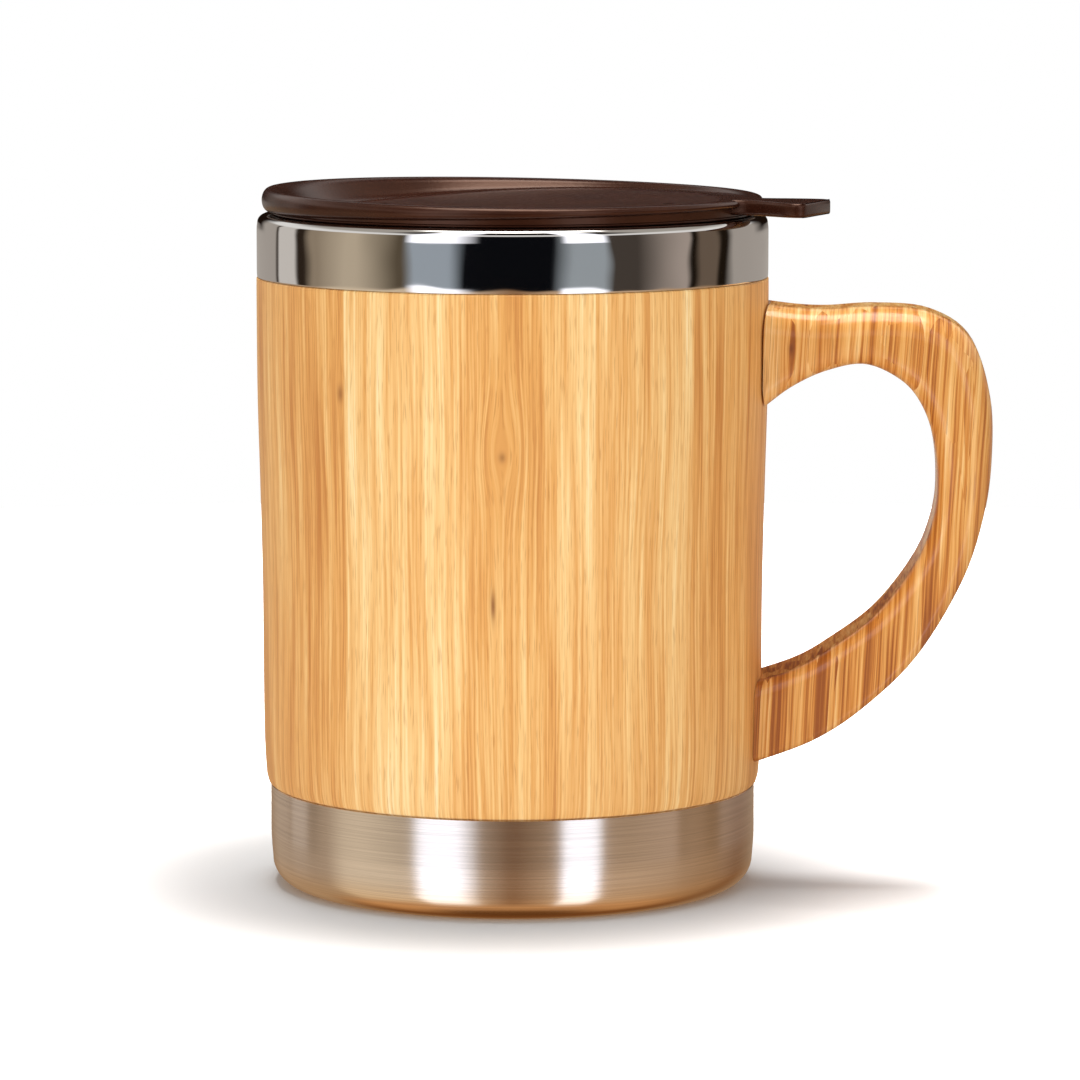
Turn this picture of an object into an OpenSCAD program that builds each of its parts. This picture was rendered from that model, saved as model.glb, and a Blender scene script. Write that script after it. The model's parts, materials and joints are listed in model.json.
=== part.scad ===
// A double-walled drinking cup: steel liner and outer wall, a bamboo sleeve and
// handle, a brushed steel base and a plug-in lid with a lifting tab.
// The cup's axis is Z, the table is z = 0 and the handle points along +X.

/* [Steel cup] */
// Height of the steel lip above the table
cup_h = 112; // [98:0.5:128]
// Outer radius of the polished collar
collar_r = 42.5; // [39:0.25:47]
// Height of the polished collar
collar_h = 10.3; // [8.5:0.1:15]
// Rounding of the collar's shoulder
shoulder_r = 2; // [1:0.1:2.6]
// Thickness of the steel sheet
sheet_t = 0.6; // [0.4:0.05:0.8]
// Width of the lip, from the collar's outside to the mouth
lip_w = 4.5; // [4:0.1:5.2]
// Height from the foot of the straight mouth to the collar's lower edge
mouth_rise = 2.3; // [2:0.1:3.5]
// Height of the cone between the mouth and the drinking cavity
throat_h = 3.5; // [2.5:0.1:6]
// Gap between the liner and the outer wall
air_gap = 2.4; // [1.6:0.1:3.2]
// Inside corner radius at the bottom of the liner
liner_corner_r = 6; // [3:0.5:12]
// Clear height between the bottom disc and the liner
floor_gap = 1.8; // [1:0.1:5]

/* [Bamboo sleeve] */
// Thickness of the sleeve at the collar
sleeve_wall = 4.1; // [3.4:0.1:5]
// Film of glue between the sleeve and the outer wall
glue_gap = 0.15; // [0.05:0.05:0.3]

/* [Brushed base] */
// Height of the base cup, up to the sleeve
base_h = 17; // [12:0.2:24]
// How far the base lies inside the collar's radius
base_inset = 1.9; // [0.5:0.1:3]
// Radius of the base's lower corner
base_corner_r = 4.2; // [3:0.1:6]
// How far the corner's top lies inside the base's radius
base_flare = 0.3; // [0:0.05:0.8]
// Height at which the base reaches its full radius
base_flare_h = 9; // [7:0.1:11]
// Width of the flat foot between the base's corner and its recess
foot_w = 7.1; // [5:0.1:12]
// Depth of the pressed recess under the base
recess_d = 1; // [0.3:0.1:2]
// Height of the bottom disc's turned-up rim
pan_h = 3; // [1.5:0.1:4]

/* [Handle] */
// Reach of the handle beyond the collar's radius
handle_reach = 37.1; // [30:0.1:50]
// Thickness of the handle's board
handle_w = 19.5; // [14:0.5:24]
// Height of the handle's lower end above the base
handle_low_gap = 4.9; // [2:0.1:12]
// Height of the collar above the handle's upper end
handle_top_gap = 4.2; // [1:0.1:12]
// How deep the handle's ends are coved over the sleeve
handle_seat_d = 0.6; // [0.3:0.1:1.2]
// Rounding of the outer edges at the upper arm
outer_edge_r = 4; // [1.6:0.1:4.1]
// Rounding of the inner edges at the upper arm
inner_edge_r = 2.2; // [1.3:0.1:3]
// Rounding of all edges at the lower arm
lower_edge_r = 1.3; // [0.5:0.1:3]

/* [Handle screws] */
// Shank radius of a handle screw
screw_r = 1.9; // [1.4:0.1:2.2]
// Length of a handle screw, with its head
screw_l = 14; // [10:0.5:15]
// Radius of the countersunk head
head_r = 3.6; // [3:0.1:4.2]
// Height of the countersunk head
head_h = 2.1; // [1.5:0.1:2.4]
// Clearance round the screws in the sleeve and the handle
screw_fit = 0.05; // [0.02:0.01:0.15]

/* [Lid] */
// Gap between the lid and the steel lip
lid_gap = 0.1; // [0.05:0.05:0.3]
// How far the lid's rim lies inside the collar's radius
rim_inset = 1.4; // [0.8:0.1:2]
// How far the rim stands off the axis, towards the drinking side
rim_shift = 0.5; // [0:0.05:0.7]
// Width of the rolled rim
rim_w = 2.5; // [2:0.1:3.4]
// Height of the rolled rim above the seat at the tab
rim_h_tab = 2.95; // [2.6:0.05:4]
// Height of the rolled rim above the seat at the drinking side
rim_h_sip = 4.3; // [3.9:0.05:6]
// Lateness of the rim's rise towards the drinking side, 1 for an even tilt
rim_late = 1.8; // [1:0.1:2.5]
// Depth of the dished top at the tab
dish_d_tab = 0.6; // [0.2:0.05:0.9]
// Depth of the dished top at the drinking side
dish_d_sip = 3.4; // [1.5:0.1:3.4]
// Lean of the dish's wall, in degrees from upright
dish_lean = 38; // [15:1:50]
// Thickness of the step under the rolled rim
step_t = 0.8; // [0.5:0.05:1.1]
// How far the step lies inside the rolled rim
step_inset = 0.5; // [0.3:0.05:1.1]
// Gap of shadow between the step and the rolled rim
shadow_gap = 0.35; // [0.1:0.05:0.6]
// Thickness of the lid's floor
floor_t = 1.8; // [1:0.1:2.4]
// Angle of the tab, seen from above, from the handle
tab_angle = -19; // [-180:1:180]
// Length of the tab beyond the rim
tab_l = 12.6; // [8:0.1:18]
// Width of the tab
tab_w = 14.5; // [10:0.5:22]
// Thickness of the tab
tab_t = 2; // [1.4:0.1:2]
// Height of the tab's underside above the step
tab_rise = 0.1; // [0.05:0.05:0.5]
// Corner radius of the tab, seen from above
tab_corner_r = 1.5; // [0.5:0.1:4]

/* [Lid openings] */
// Length of the drinking slot
slot_l = 16; // [11:0.5:22]
// Width of the drinking slot
slot_w = 7; // [5:0.5:9]
// Distance from the drinking slot to the inside of the skirt
slot_edge = 4; // [3:0.1:8]
// Radius of the vent hole
vent_r = 1; // [0.6:0.1:2]
// Distance from the vent hole to the inside of the skirt
vent_edge = 8; // [4:0.5:14]

/* [Lid skirt and seal] */
// Gap between the skirt and the mouth
skirt_gap = 0.8; // [0.6:0.05:1.2]
// Thickness of the skirt
skirt_t = 1.6; // [1.3:0.1:2.4]
// Height of the skirt's lower edge above the foot of the mouth
skirt_rise = 1.4; // [0.5:0.1:2]
// Depth of the seal's groove
groove_d = 0.8; // [0.5:0.05:1]
// Height of the seal's groove
groove_h = 2.4; // [2:0.1:3]
// Distance from the seal's groove to the lip
groove_drop = 2; // [1.2:0.1:2.6]
// Running gap between the seal and its groove
seal_run = 0.05; // [0.02:0.01:0.1]
// Gap between the seal and the mouth
seal_fit = 0.15; // [0.1:0.01:0.3]
// Radius of the seal's two sealing beads
bead_r = 0.45; // [0.3:0.05:0.5]

/* [Hidden] */

// Segments of round solids, steps of a rounded corner and steps of the free curves
$fn = 96;
corner_steps = 6;
barrel_steps = 32;
handle_steps = 52;
edge_steps = 5;
rim_steps = 60;
roll_steps = 12;

// Overrun of a cut past the face that it opens
cut = 1;
// Gap at a welded or pressed joint in the steel
weld_gap = 0.02;
// How deep one solid of a joined pair is sunk in the other
sink = 0.3;

// Levels, from the table up
neck_z = base_corner_r;
liner_z = neck_z + pan_h + floor_gap;
sleeve_top_z = cup_h - collar_h;
mouth_foot_z = sleeve_top_z + mouth_rise;
throat_foot_z = mouth_foot_z - throat_h;

// Radii, from the outside in
base_r = collar_r - base_inset;
recess_r = base_r - base_flare - base_corner_r - foot_w;
mouth_r = collar_r - lip_w;
sleeve_bore_r = collar_r - sleeve_wall;
neck_r = sleeve_bore_r - glue_gap;
neck_in_r = neck_r - sheet_t;
liner_out_r = neck_in_r - air_gap;
liner_r = liner_out_r - sheet_t;
lip_edge_r = sheet_t * 0.7;

// Outline of the barrel-shaped sleeve: share of its height, then share of the base inset
barrel_shares = [[0, 0.06], [0.01, 0.28], [0.03, 0.4], [0.09, 0.53], [0.2, 0.59], [0.4, 0.63],
    [0.6, 0.81], [0.78, 1], [1, 1.04]];

// Stations down the handle: the inner edge's reach and height, then the outer edge's,
// as shares of the way from the seat on the sleeve to the handle's back, and of its height
handle_shares = [
    [0, 0.775, 0, 1],
    [0.125, 0.825, 0.15, 0.985],
    [0.275, 0.86, 0.285, 0.98],
    [0.445, 0.875, 0.485, 0.99],
    [0.6, 0.84, 0.725, 0.98],
    [0.69, 0.785, 0.905, 0.925],
    [0.745, 0.71, 0.99, 0.8],
    [0.765, 0.62, 0.995, 0.67],
    [0.75, 0.535, 0.97, 0.545],
    [0.675, 0.435, 0.88, 0.4],
    [0.505, 0.32, 0.69, 0.235],
    [0.3, 0.24, 0.465, 0.12],
    [0.165, 0.2, 0.25, 0.045],
    [0, 0.17, 0, -0.005]];
// Heights of the two handle screws, as shares of the handle's height
upper_screw_share = 0.92;
lower_screw_share = 0.125;

// How far out the barrel is behind the handle's lower end, as a share of the base inset
lower_barrel_share = 0.53;

handle_z = base_h + handle_low_gap;
handle_h = sleeve_top_z - handle_top_gap - handle_z;
handle_back_x = collar_r + handle_reach;
// Places of the handle's two flat ends, each let into the sleeve's barrel by the cove
upper_seat_x = collar_r - handle_seat_d;
lower_seat_x = base_r + base_inset * lower_barrel_share - handle_seat_d;
upper_screw_z = handle_z + upper_screw_share * handle_h;
lower_screw_z = handle_z + lower_screw_share * handle_h;
screw_x = sleeve_bore_r;
// Pointed end, cross recess and the rest of a handle screw
screw_tip_h = screw_r;
recess_w = head_r * 0.3;
recess_l = head_r * 1.1;
recess_depth = head_h * 0.5;

// Lid levels and radii
lid_z = cup_h + lid_gap;
step_top_z = lid_z + step_t;
roll_foot_z = step_top_z + shadow_gap;
rim_r = collar_r - rim_inset;
roll_r = rim_r - rim_w / 2;
step_r = rim_r - step_inset;
step_edge_r = step_t * 0.4;
skirt_r = mouth_r - skirt_gap;
skirt_in_r = skirt_r - skirt_t;
skirt_foot_z = mouth_foot_z + skirt_rise;
groove_r = skirt_r - groove_d;
groove_top_z = lid_z - groove_drop;
floor_tab_z = lid_z + rim_h_tab - dish_d_tab;
floor_sip_z = lid_z + rim_h_sip - dish_d_sip;
floor_mid_z = (floor_tab_z + floor_sip_z) / 2;
dish_r = rim_r - rim_w;
core_r = roll_r - rim_w / 5;
floor_tilt = atan((floor_tab_z - floor_sip_z) / (2 * dish_r));
slot_x = skirt_in_r - slot_edge - slot_w / 2;
vent_x = skirt_in_r - vent_edge;
bead_x = mouth_r - seal_fit - bead_r;

// Points on an arc about c, from angle a0 to a1
function arc(c, r, a0, a1, n = corner_steps) =
    [for (i = [0:n]) let (a = a0 + (a1 - a0) * i / n) c + r * [cos(a), sin(a)]];

// A smooth curve through the points p, with t from 0 to 1 along it
function through(p, t) =
    let (last = len(p) - 1, u = t * last, i = min(floor(u), last - 1), f = u - i)
    let (a = p[max(i - 1, 0)], b = p[i], c = p[i + 1], d = p[min(i + 2, last)])
    (2 * b + (c - a) * f + (2 * a - 5 * b + 4 * c - d) * f * f + (3 * b - a - 3 * c + d) * f * f * f) / 2;

// Height of the lid's floor at reach x towards the tab
function floor_z(x) = floor_mid_z + x * tan(floor_tilt);

// Outline of the sleeve's outside, grown by a gap
function barrel(gap) = [for (i = [0:barrel_steps])
    let (s = through(barrel_shares, i / barrel_steps))
    [base_r + s[1] * base_inset + gap, base_h + s[0] * (sleeve_top_z - base_h)]];

// A closed skin over rings of points: a tube with flat ends, or a ring that meets itself
module skin(rings, meets) {
    n = len(rings[0]);
    count = len(rings);
    bands = meets ? count : count - 1;
    sides = [for (i = [0:bands - 1], j = [0:n - 1])
        let (next = (i + 1) % count * n, a = i * n + j, b = i * n + (j + 1) % n)
        let (c = next + (j + 1) % n, d = next + j)
        each [[a, b, c], [a, c, d]]];
    ends = meets ? [] : [[for (j = [n - 1:-1:0]) j], [for (j = [0:n - 1]) (count - 1) * n + j]];
    polyhedron(points = [for (ring = rings) each ring], faces = concat(sides, ends), convexity = 6);
}

// Everything below a plane that rises towards +X by the floor's tilt
module below_floor(drop) {
    side = 2 * collar_r;
    translate([0, 0, floor_mid_z - drop])
        rotate([0, -floor_tilt, 0])
            translate([-side, -side, -side])
                cube([2 * side, 2 * side, side]);
}

// One round sheet-metal wall, from its outline
module turned(outline) {
    rotate_extrude()
        polygon(outline);
}

// Deep-drawn liner: straight mouth, cone, drinking cavity and rounded bottom
module inner_cup() {
    out_corner_r = liner_corner_r + sheet_t;
    floor_c = [liner_r - liner_corner_r, liner_z + out_corner_r];
    color("silver")
        turned(concat(
            [[0, liner_z], [floor_c[0], liner_z]],
            arc(floor_c, out_corner_r, -90, 0),
            [[liner_out_r, throat_foot_z], [mouth_r + sheet_t - weld_gap, mouth_foot_z],
                [mouth_r + sheet_t - weld_gap, cup_h]],
            arc([mouth_r + lip_edge_r, cup_h - lip_edge_r], lip_edge_r, 90, 180),
            [[mouth_r, mouth_foot_z], [liner_r, throat_foot_z]],
            arc(floor_c, liner_corner_r, 0, -90),
            [[0, liner_z + sheet_t]]));
}

// Outer wall: polished collar with a rolled shoulder, stepped in to the neck under the sleeve
module outer_wall() {
    shoulder_c = [collar_r - shoulder_r, cup_h - shoulder_r];
    land_r = mouth_r + sheet_t;
    color("gainsboro")
        turned(concat(
            [[land_r, cup_h - sheet_t], [land_r, cup_h]],
            arc(shoulder_c, shoulder_r, 90, 0),
            [[collar_r, sleeve_top_z], [neck_r, sleeve_top_z], [neck_r, neck_z], [neck_in_r, neck_z],
                [neck_in_r, sleeve_top_z + sheet_t], [collar_r - sheet_t, sleeve_top_z + sheet_t]],
            arc(shoulder_c, shoulder_r - sheet_t, 0, 90)));
}

// Flat disc with a turned-up rim, which closes the outer wall below the liner
module bottom_disc() {
    pan_r = neck_in_r - weld_gap;
    color("darkgray")
        turned([[0, neck_z], [pan_r, neck_z], [pan_r, neck_z + pan_h], [pan_r - sheet_t, neck_z + pan_h],
            [pan_r - sheet_t, neck_z + sheet_t], [0, neck_z + sheet_t]]);
}

// Brushed base cup: pressed recess, rounded corner and a rim turned in to grip the neck
module base_cup() {
    corner_c = [base_r - base_flare - base_corner_r, base_corner_r];
    grip_r = neck_r + weld_gap;
    color("rosybrown")
        turned(concat(
            [[0, recess_d], [recess_r - recess_d, recess_d], [recess_r, 0], [corner_c[0], 0]],
            arc(corner_c, base_corner_r, -90, 0),
            [[base_r, base_flare_h], [base_r, base_h], [grip_r, base_h], [grip_r, base_h - sheet_t],
                [base_r - sheet_t, base_h - sheet_t], [base_r - sheet_t, base_flare_h]],
            arc(corner_c, base_corner_r - sheet_t, 0, -90),
            [[recess_r + sheet_t / 2, sheet_t], [recess_r - recess_d + sheet_t / 2, recess_d + sheet_t],
                [0, recess_d + sheet_t]]));
}

// Space for one handle screw, with its countersink at the sleeve's bore
module screw_space(z) {
    translate([screw_x, 0, z])
        rotate([0, 90, 0]) {
            translate([0, 0, -cut])
                cylinder(h = screw_l + cut + screw_fit, r = screw_r + screw_fit);
            cylinder(h = head_h + screw_fit, r1 = head_r + screw_fit, r2 = screw_r + screw_fit);
            translate([0, 0, -cut])
                cylinder(h = cut, r = head_r + screw_fit);
        }
}

// Barrel-shaped bamboo sleeve, glued over the neck and countersunk inside for the screws
module bamboo_sleeve() {
    color("burlywood")
        difference() {
            turned(concat([[sleeve_bore_r, base_h]], barrel(0), [[sleeve_bore_r, sleeve_top_z]]));
            screw_space(upper_screw_z);
            screw_space(lower_screw_z);
        }
}

// One section of the handle: a rounded board end between its inner and outer edges
function handle_ring(t) =
    let (s = through(handle_shares, t))
    let (seat_x = upper_seat_x + (lower_seat_x - upper_seat_x) * t, span = handle_back_x - seat_x)
    let (foot = [seat_x + s[0] * span, handle_z + s[1] * handle_h])
    let (head = [seat_x + s[2] * span, handle_z + s[3] * handle_h])
    let (mid = (foot + head) / 2, half = norm(head - foot) / 2, way = (head - foot) / (2 * half))
    let (fade = min(1, max(0, (1 - t) * 3 - 1)))
    let (soft_out = lower_edge_r + (outer_edge_r - lower_edge_r) * fade)
    let (soft_in = lower_edge_r + (inner_edge_r - lower_edge_r) * fade)
    [for (q = [0:3], k = [0:edge_steps])
        let (r = q < 2 ? soft_out : soft_in, a = 90 * q + 90 * k / edge_steps)
        let (up = (q < 2 ? 1 : -1) * (half - r) + r * sin(a))
        let (side = (q == 0 || q == 3 ? 1 : -1) * (handle_w / 2 - r) + r * cos(a))
        [mid[0] + way[0] * up, side, mid[1] + way[1] * up]];

// Bamboo handle: a board cut to a hook, rounded most at the upper arm, coved to the sleeve
module handle() {
    color("peru")
        difference() {
            skin([for (i = [0:handle_steps]) handle_ring(i / handle_steps)], false);
            turned(concat([[0, base_h]], barrel(screw_fit), [[0, sleeve_top_z]]));
            screw_space(upper_screw_z);
            screw_space(lower_screw_z);
        }
}

// Countersunk wood screw, driven from inside the sleeve, with a cross recess
module handle_screw(z) {
    color("dimgray")
        translate([screw_x + screw_fit, 0, z])
            rotate([0, 90, 0])
                difference() {
                    turned([[0, 0], [head_r, 0], [screw_r, head_h],
                        [screw_r, screw_l - screw_tip_h - screw_fit], [0, screw_l - screw_fit]]);
                    for (a = [0, 90])
                        rotate([0, 0, a])
                            translate([-recess_l / 2, -recess_w / 2, -cut])
                                cube([recess_l, recess_w, recess_depth + cut]);
                }
}

// One section of the lid's rolled rim, at an angle from the tab
function rim_ring(a) =
    let (top = lid_z + rim_h_tab + (rim_h_sip - rim_h_tab) * pow((1 - cos(a)) / 2, rim_late))
    let (half = (top - roll_foot_z) / 2, mid_z = roll_foot_z + half)
    let (floor_here_z = floor_z(dish_r * cos(a) - rim_shift))
    let (base_z = step_top_z - sink, foot_z = max(floor_here_z - sink, base_z + sink / 4))
    let (foot_r = dish_r - max(0, mid_z - foot_z) * tan(dish_lean))
    let (turn = [for (k = [0:roll_steps]) -90 + 270 * k / roll_steps])
    let (roll = [for (b = turn) [roll_r + rim_w / 2 * cos(b), mid_z + half * sin(b)]])
    [for (p = concat([[roll_r, base_z]], roll, [[foot_r, foot_z], [foot_r, base_z]]))
        [p[0] * cos(a) - rim_shift, p[0] * sin(a), p[1]]];

// Lifting tab: a flat tongue with rounded corners
module tab() {
    root_x = roll_r - rim_w / 10;
    tip_x = rim_r + tab_l;
    corner_x = tip_x - tab_corner_r;
    corner_y = tab_w / 2 - tab_corner_r;
    translate([-rim_shift, 0, step_top_z + tab_rise])
        linear_extrude(tab_t)
            union() {
                translate([root_x, -tab_w / 2])
                    square([corner_x - root_x, tab_w]);
                translate([root_x, -corner_y])
                    square([tip_x - root_x, 2 * corner_y]);
                for (side = [-1, 1])
                    translate([corner_x, side * corner_y])
                        circle(r = tab_corner_r);
            }
}

// Drinking slot and vent, right through the lid's floor
module lid_openings() {
    depth = rim_h_sip + lid_z - skirt_foot_z;
    end_y = (slot_l - slot_w) / 2;
    translate([0, 0, skirt_foot_z]) {
        linear_extrude(depth)
            translate([-slot_x, 0])
                union() {
                    square([slot_w, 2 * end_y], center = true);
                    for (side = [-1, 1])
                        translate([0, side * end_y])
                            circle(r = slot_w / 2);
                }
        translate([vent_x, 0, 0])
            cylinder(h = depth, r = vent_r);
    }
}

// Moulded lid: dished top with a rolled rim, step, skirt with the seal's groove, and tab
module lid() {
    color("saddlebrown")
        rotate([0, 0, tab_angle])
            difference() {
                union() {
                    intersection() {
                        union() {
                            translate([0, 0, skirt_foot_z])
                                cylinder(h = step_top_z - skirt_foot_z, r = skirt_r);
                            translate([-rim_shift, 0, step_top_z - sink])
                                cylinder(h = rim_h_sip, r = core_r);
                        }
                        below_floor(0);
                    }
                    turned(concat([[0, lid_z]],
                        arc([step_r - step_edge_r, lid_z + step_edge_r], step_edge_r, -90, 0),
                        arc([step_r - step_edge_r, step_top_z - step_edge_r], step_edge_r, 0, 90),
                        [[0, step_top_z]]));
                    skin([for (i = [0:rim_steps - 1]) rim_ring(360 * i / rim_steps)], true);
                    tab();
                }
                intersection() {
                    translate([0, 0, skirt_foot_z - cut])
                        cylinder(h = floor_tab_z - skirt_foot_z + cut, r = skirt_in_r);
                    below_floor(floor_t);
                }
                rotate_extrude()
                    translate([groove_r, groove_top_z - groove_h])
                        square([groove_d + cut, groove_h]);
                lid_openings();
            }
}

// Silicone seal: a band in the skirt's groove with two sealing beads
module lid_seal() {
    seal_h = groove_h - 2 * seal_run;
    seal_z = groove_top_z - groove_h + seal_run;
    color("whitesmoke")
        rotate_extrude()
            union() {
                translate([groove_r + seal_run, seal_z])
                    square([skirt_r - groove_r - seal_run, seal_h]);
                for (z = [seal_z + bead_r, seal_z + seal_h - bead_r]) {
                    translate([skirt_r - groove_d / 2, z - bead_r / 2])
                        square([bead_x - skirt_r + groove_d / 2, bead_r]);
                    translate([bead_x, z])
                        circle(r = bead_r);
                }
            }
}

inner_cup();
outer_wall();
bottom_disc();
base_cup();
bamboo_sleeve();
handle();
handle_screw(upper_screw_z);  // handle_screw_upper
handle_screw(lower_screw_z);  // handle_screw_lower
lid();
lid_seal();
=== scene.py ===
"""Dress a bamboo and steel drinking cup for a studio picture.

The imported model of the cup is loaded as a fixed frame. Each part that shows is modelled again with
smooth curves and soft edges, gets the finish of the real one, and rides on its body. A pale studio and
a camera at the height of a table top stand round it. Sizes are in millimetres unless it is said.
"""

from __future__ import annotations

import json
import logging
import math
import random
from collections.abc import Callable, Sequence
from dataclasses import dataclass
from enum import Enum
from functools import partial
from typing import Any

import bmesh
import bpy
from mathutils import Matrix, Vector

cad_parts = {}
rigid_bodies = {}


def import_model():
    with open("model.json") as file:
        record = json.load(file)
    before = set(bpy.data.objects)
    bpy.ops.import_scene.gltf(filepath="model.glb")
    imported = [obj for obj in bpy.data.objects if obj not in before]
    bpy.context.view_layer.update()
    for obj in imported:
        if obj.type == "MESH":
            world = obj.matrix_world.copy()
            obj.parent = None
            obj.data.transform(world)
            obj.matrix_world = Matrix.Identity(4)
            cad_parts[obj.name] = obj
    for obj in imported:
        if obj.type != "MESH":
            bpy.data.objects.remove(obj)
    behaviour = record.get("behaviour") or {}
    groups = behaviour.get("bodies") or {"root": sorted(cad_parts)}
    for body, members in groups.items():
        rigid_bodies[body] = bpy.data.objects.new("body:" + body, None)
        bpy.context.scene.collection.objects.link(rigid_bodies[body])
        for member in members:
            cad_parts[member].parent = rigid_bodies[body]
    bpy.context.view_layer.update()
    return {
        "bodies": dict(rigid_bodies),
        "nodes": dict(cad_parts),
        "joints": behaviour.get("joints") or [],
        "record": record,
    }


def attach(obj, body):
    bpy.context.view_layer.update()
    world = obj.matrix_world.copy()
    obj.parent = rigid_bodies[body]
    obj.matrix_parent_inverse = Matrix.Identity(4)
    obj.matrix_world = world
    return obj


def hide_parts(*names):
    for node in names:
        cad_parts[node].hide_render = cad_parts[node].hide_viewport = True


LOG = logging.getLogger("cup")
MM = 0.001
SIDES = 192
SMOOTH = {"interpolation_type": "SMOOTHSTEP"}
RGBA = {"data_type": "RGBA"}

Point = tuple[float, float]
Colour = tuple[float, float, float, float]
Stops = Sequence[tuple[float, str]]
Tree = bpy.types.NodeTree
Node = bpy.types.Node
Socket = bpy.types.NodeSocket
Material = bpy.types.Material
Piece = bpy.types.Object
Adder = Callable[..., Node]
Strips = Callable[[Adder], tuple[Node, Node]]


class Slot(Enum):
    """Material slots of the pieces that are dressed."""

    LINER = "liner_steel"
    COLLAR = "polished_steel"
    BASE = "base_steel"
    SLEEVE = "sleeve_bamboo"
    HANDLE = "handle_bamboo"
    LID = "lid_plastic"
    SEAL = "seal_silicone"


class Body(Enum):
    """Moving bodies of the cup."""

    CUP = "cup"
    SEAL = "seal"
    LID = "lid"


class Element(Enum):
    """Parts of a mesh that can be selected."""

    VERTEX = "VERT"
    EDGE = "EDGE"


class Boolean(Enum):
    """Ways to use one solid up on another."""

    CUT = "DIFFERENCE"
    JOIN = "UNION"


# ---- Small tools for colours, nodes and curves -------------------------------------------------


def linear(hex_colour: str) -> Colour:
    """Turn an sRGB hex colour into linear light.

    Args:
        hex_colour: Six hex digits, with or without a leading hash.

    Returns:
        Red, green, blue and an alpha of 1.
    """
    digits = hex_colour.lstrip("#")
    channels = [int(digits[i : i + 2], 16) / 255 for i in (0, 2, 4)]
    red, green, blue = (c / 12.92 if c <= 0.04045 else ((c + 0.055) / 1.055) ** 2.4 for c in channels)
    return red, green, blue, 1.0


def add_node(
    tree: Tree,
    kind: str,
    *values: object,
    sockets: dict[int | str, object] | None = None,
    stops: Stops = (),
    **settings: object,
) -> Node:
    """Add one node with its settings and links.

    Args:
        tree: The node tree that gets the node.
        kind: Type of the node, without its ShaderNode prefix.
        *values: What goes into its first input sockets, in their order: values, sockets to link, or
            nodes whose first output is linked.
        sockets: The same for other input sockets, by name or number.
        stops: Positions and hex colours, for a colour ramp.
        **settings: Properties of the node.

    Returns:
        The new node.
    """
    node = tree.nodes.new("ShaderNode" + kind)
    for name, setting in settings.items():
        setattr(node, name, setting)
    for key, value in {**dict(enumerate(values)), **(sockets or {})}.items():
        source = value.outputs[0] if isinstance(value, Node) else value
        if isinstance(source, Socket):
            tree.links.new(source, node.inputs[key])
        else:
            node.inputs[key].default_value = source
    if stops:
        ramp = node.color_ramp.elements
        while len(ramp) < len(stops):
            ramp.new(1.0)
        for element, (position, hex_colour) in zip(ramp, stops):
            element.position = position
            element.color = linear(hex_colour)
    return node


def new_material(name: str) -> tuple[Material, Adder]:
    """Make an empty material.

    Args:
        name: Name of the finish.

    Returns:
        The material, and add_node for its tree.
    """
    material = bpy.data.materials.new(name)
    material.use_nodes = True
    material.node_tree.nodes.clear()
    return material, partial(add_node, material.node_tree)


def arc(centre: Point, radii: Point, start: float, end: float, steps: int = 6) -> list[Point]:
    """Make points on an arc of an ellipse.

    Args:
        centre: Radius and height of the ellipse's centre.
        radii: Half width and half height of the ellipse.
        start: First angle in degrees, from outwards and turning up.
        end: Last angle in degrees.
        steps: Number of steps between the two.

    Returns:
        The points, both ends included.
    """
    angles = (math.radians(start + (end - start) * i / steps) for i in range(steps + 1))
    return [(centre[0] + radii[0] * math.cos(a), centre[1] + radii[1] * math.sin(a)) for a in angles]


def through(points: Sequence[Sequence[float]], share: float) -> list[float]:
    """Read a smooth curve that passes through all its points.

    Args:
        points: The points, each with any number of values.
        share: Place along the curve, from 0 to 1.

    Returns:
        The values at that place.
    """
    last = len(points) - 1
    place = share * last
    i = min(int(place), last - 1)
    f = place - i
    around = zip(points[max(i - 1, 0)], points[i], points[i + 1], points[min(i + 2, last)])
    return [
        (2 * b + (c - a) * f + (2 * a - 5 * b + 4 * c - d) * f**2 + (3 * b - a - 3 * c + d) * f**3) / 2
        for a, b, c, d in around
    ]


# ---- Small tools for modelling -----------------------------------------------------------------


def finish_piece(piece: Piece, crease_deg: float = 32) -> Piece:
    """Close a piece: doubles merged, faces outwards, place in the mesh, soft shading.

    Making the normals agree can turn a closed mesh inside out, so the sign of its volume is checked.

    Args:
        piece: The active object, in object mode.
        crease_deg: Edges that turn more than this stay sharp.

    Returns:
        The same piece.
    """
    bpy.ops.object.mode_set(mode="EDIT")
    bpy.ops.mesh.select_all(action="SELECT")
    bpy.ops.mesh.remove_doubles(threshold=0.001 * MM)
    bpy.ops.mesh.normals_make_consistent(inside=False)
    if bmesh.from_edit_mesh(piece.data).calc_volume(signed=True) < 0:
        bpy.ops.mesh.flip_normals()
    bpy.ops.object.mode_set(mode="OBJECT")
    bpy.ops.object.transform_apply(location=True, rotation=True, scale=True)
    bpy.ops.object.shade_smooth_by_angle(angle=math.radians(crease_deg))
    return piece


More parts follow.
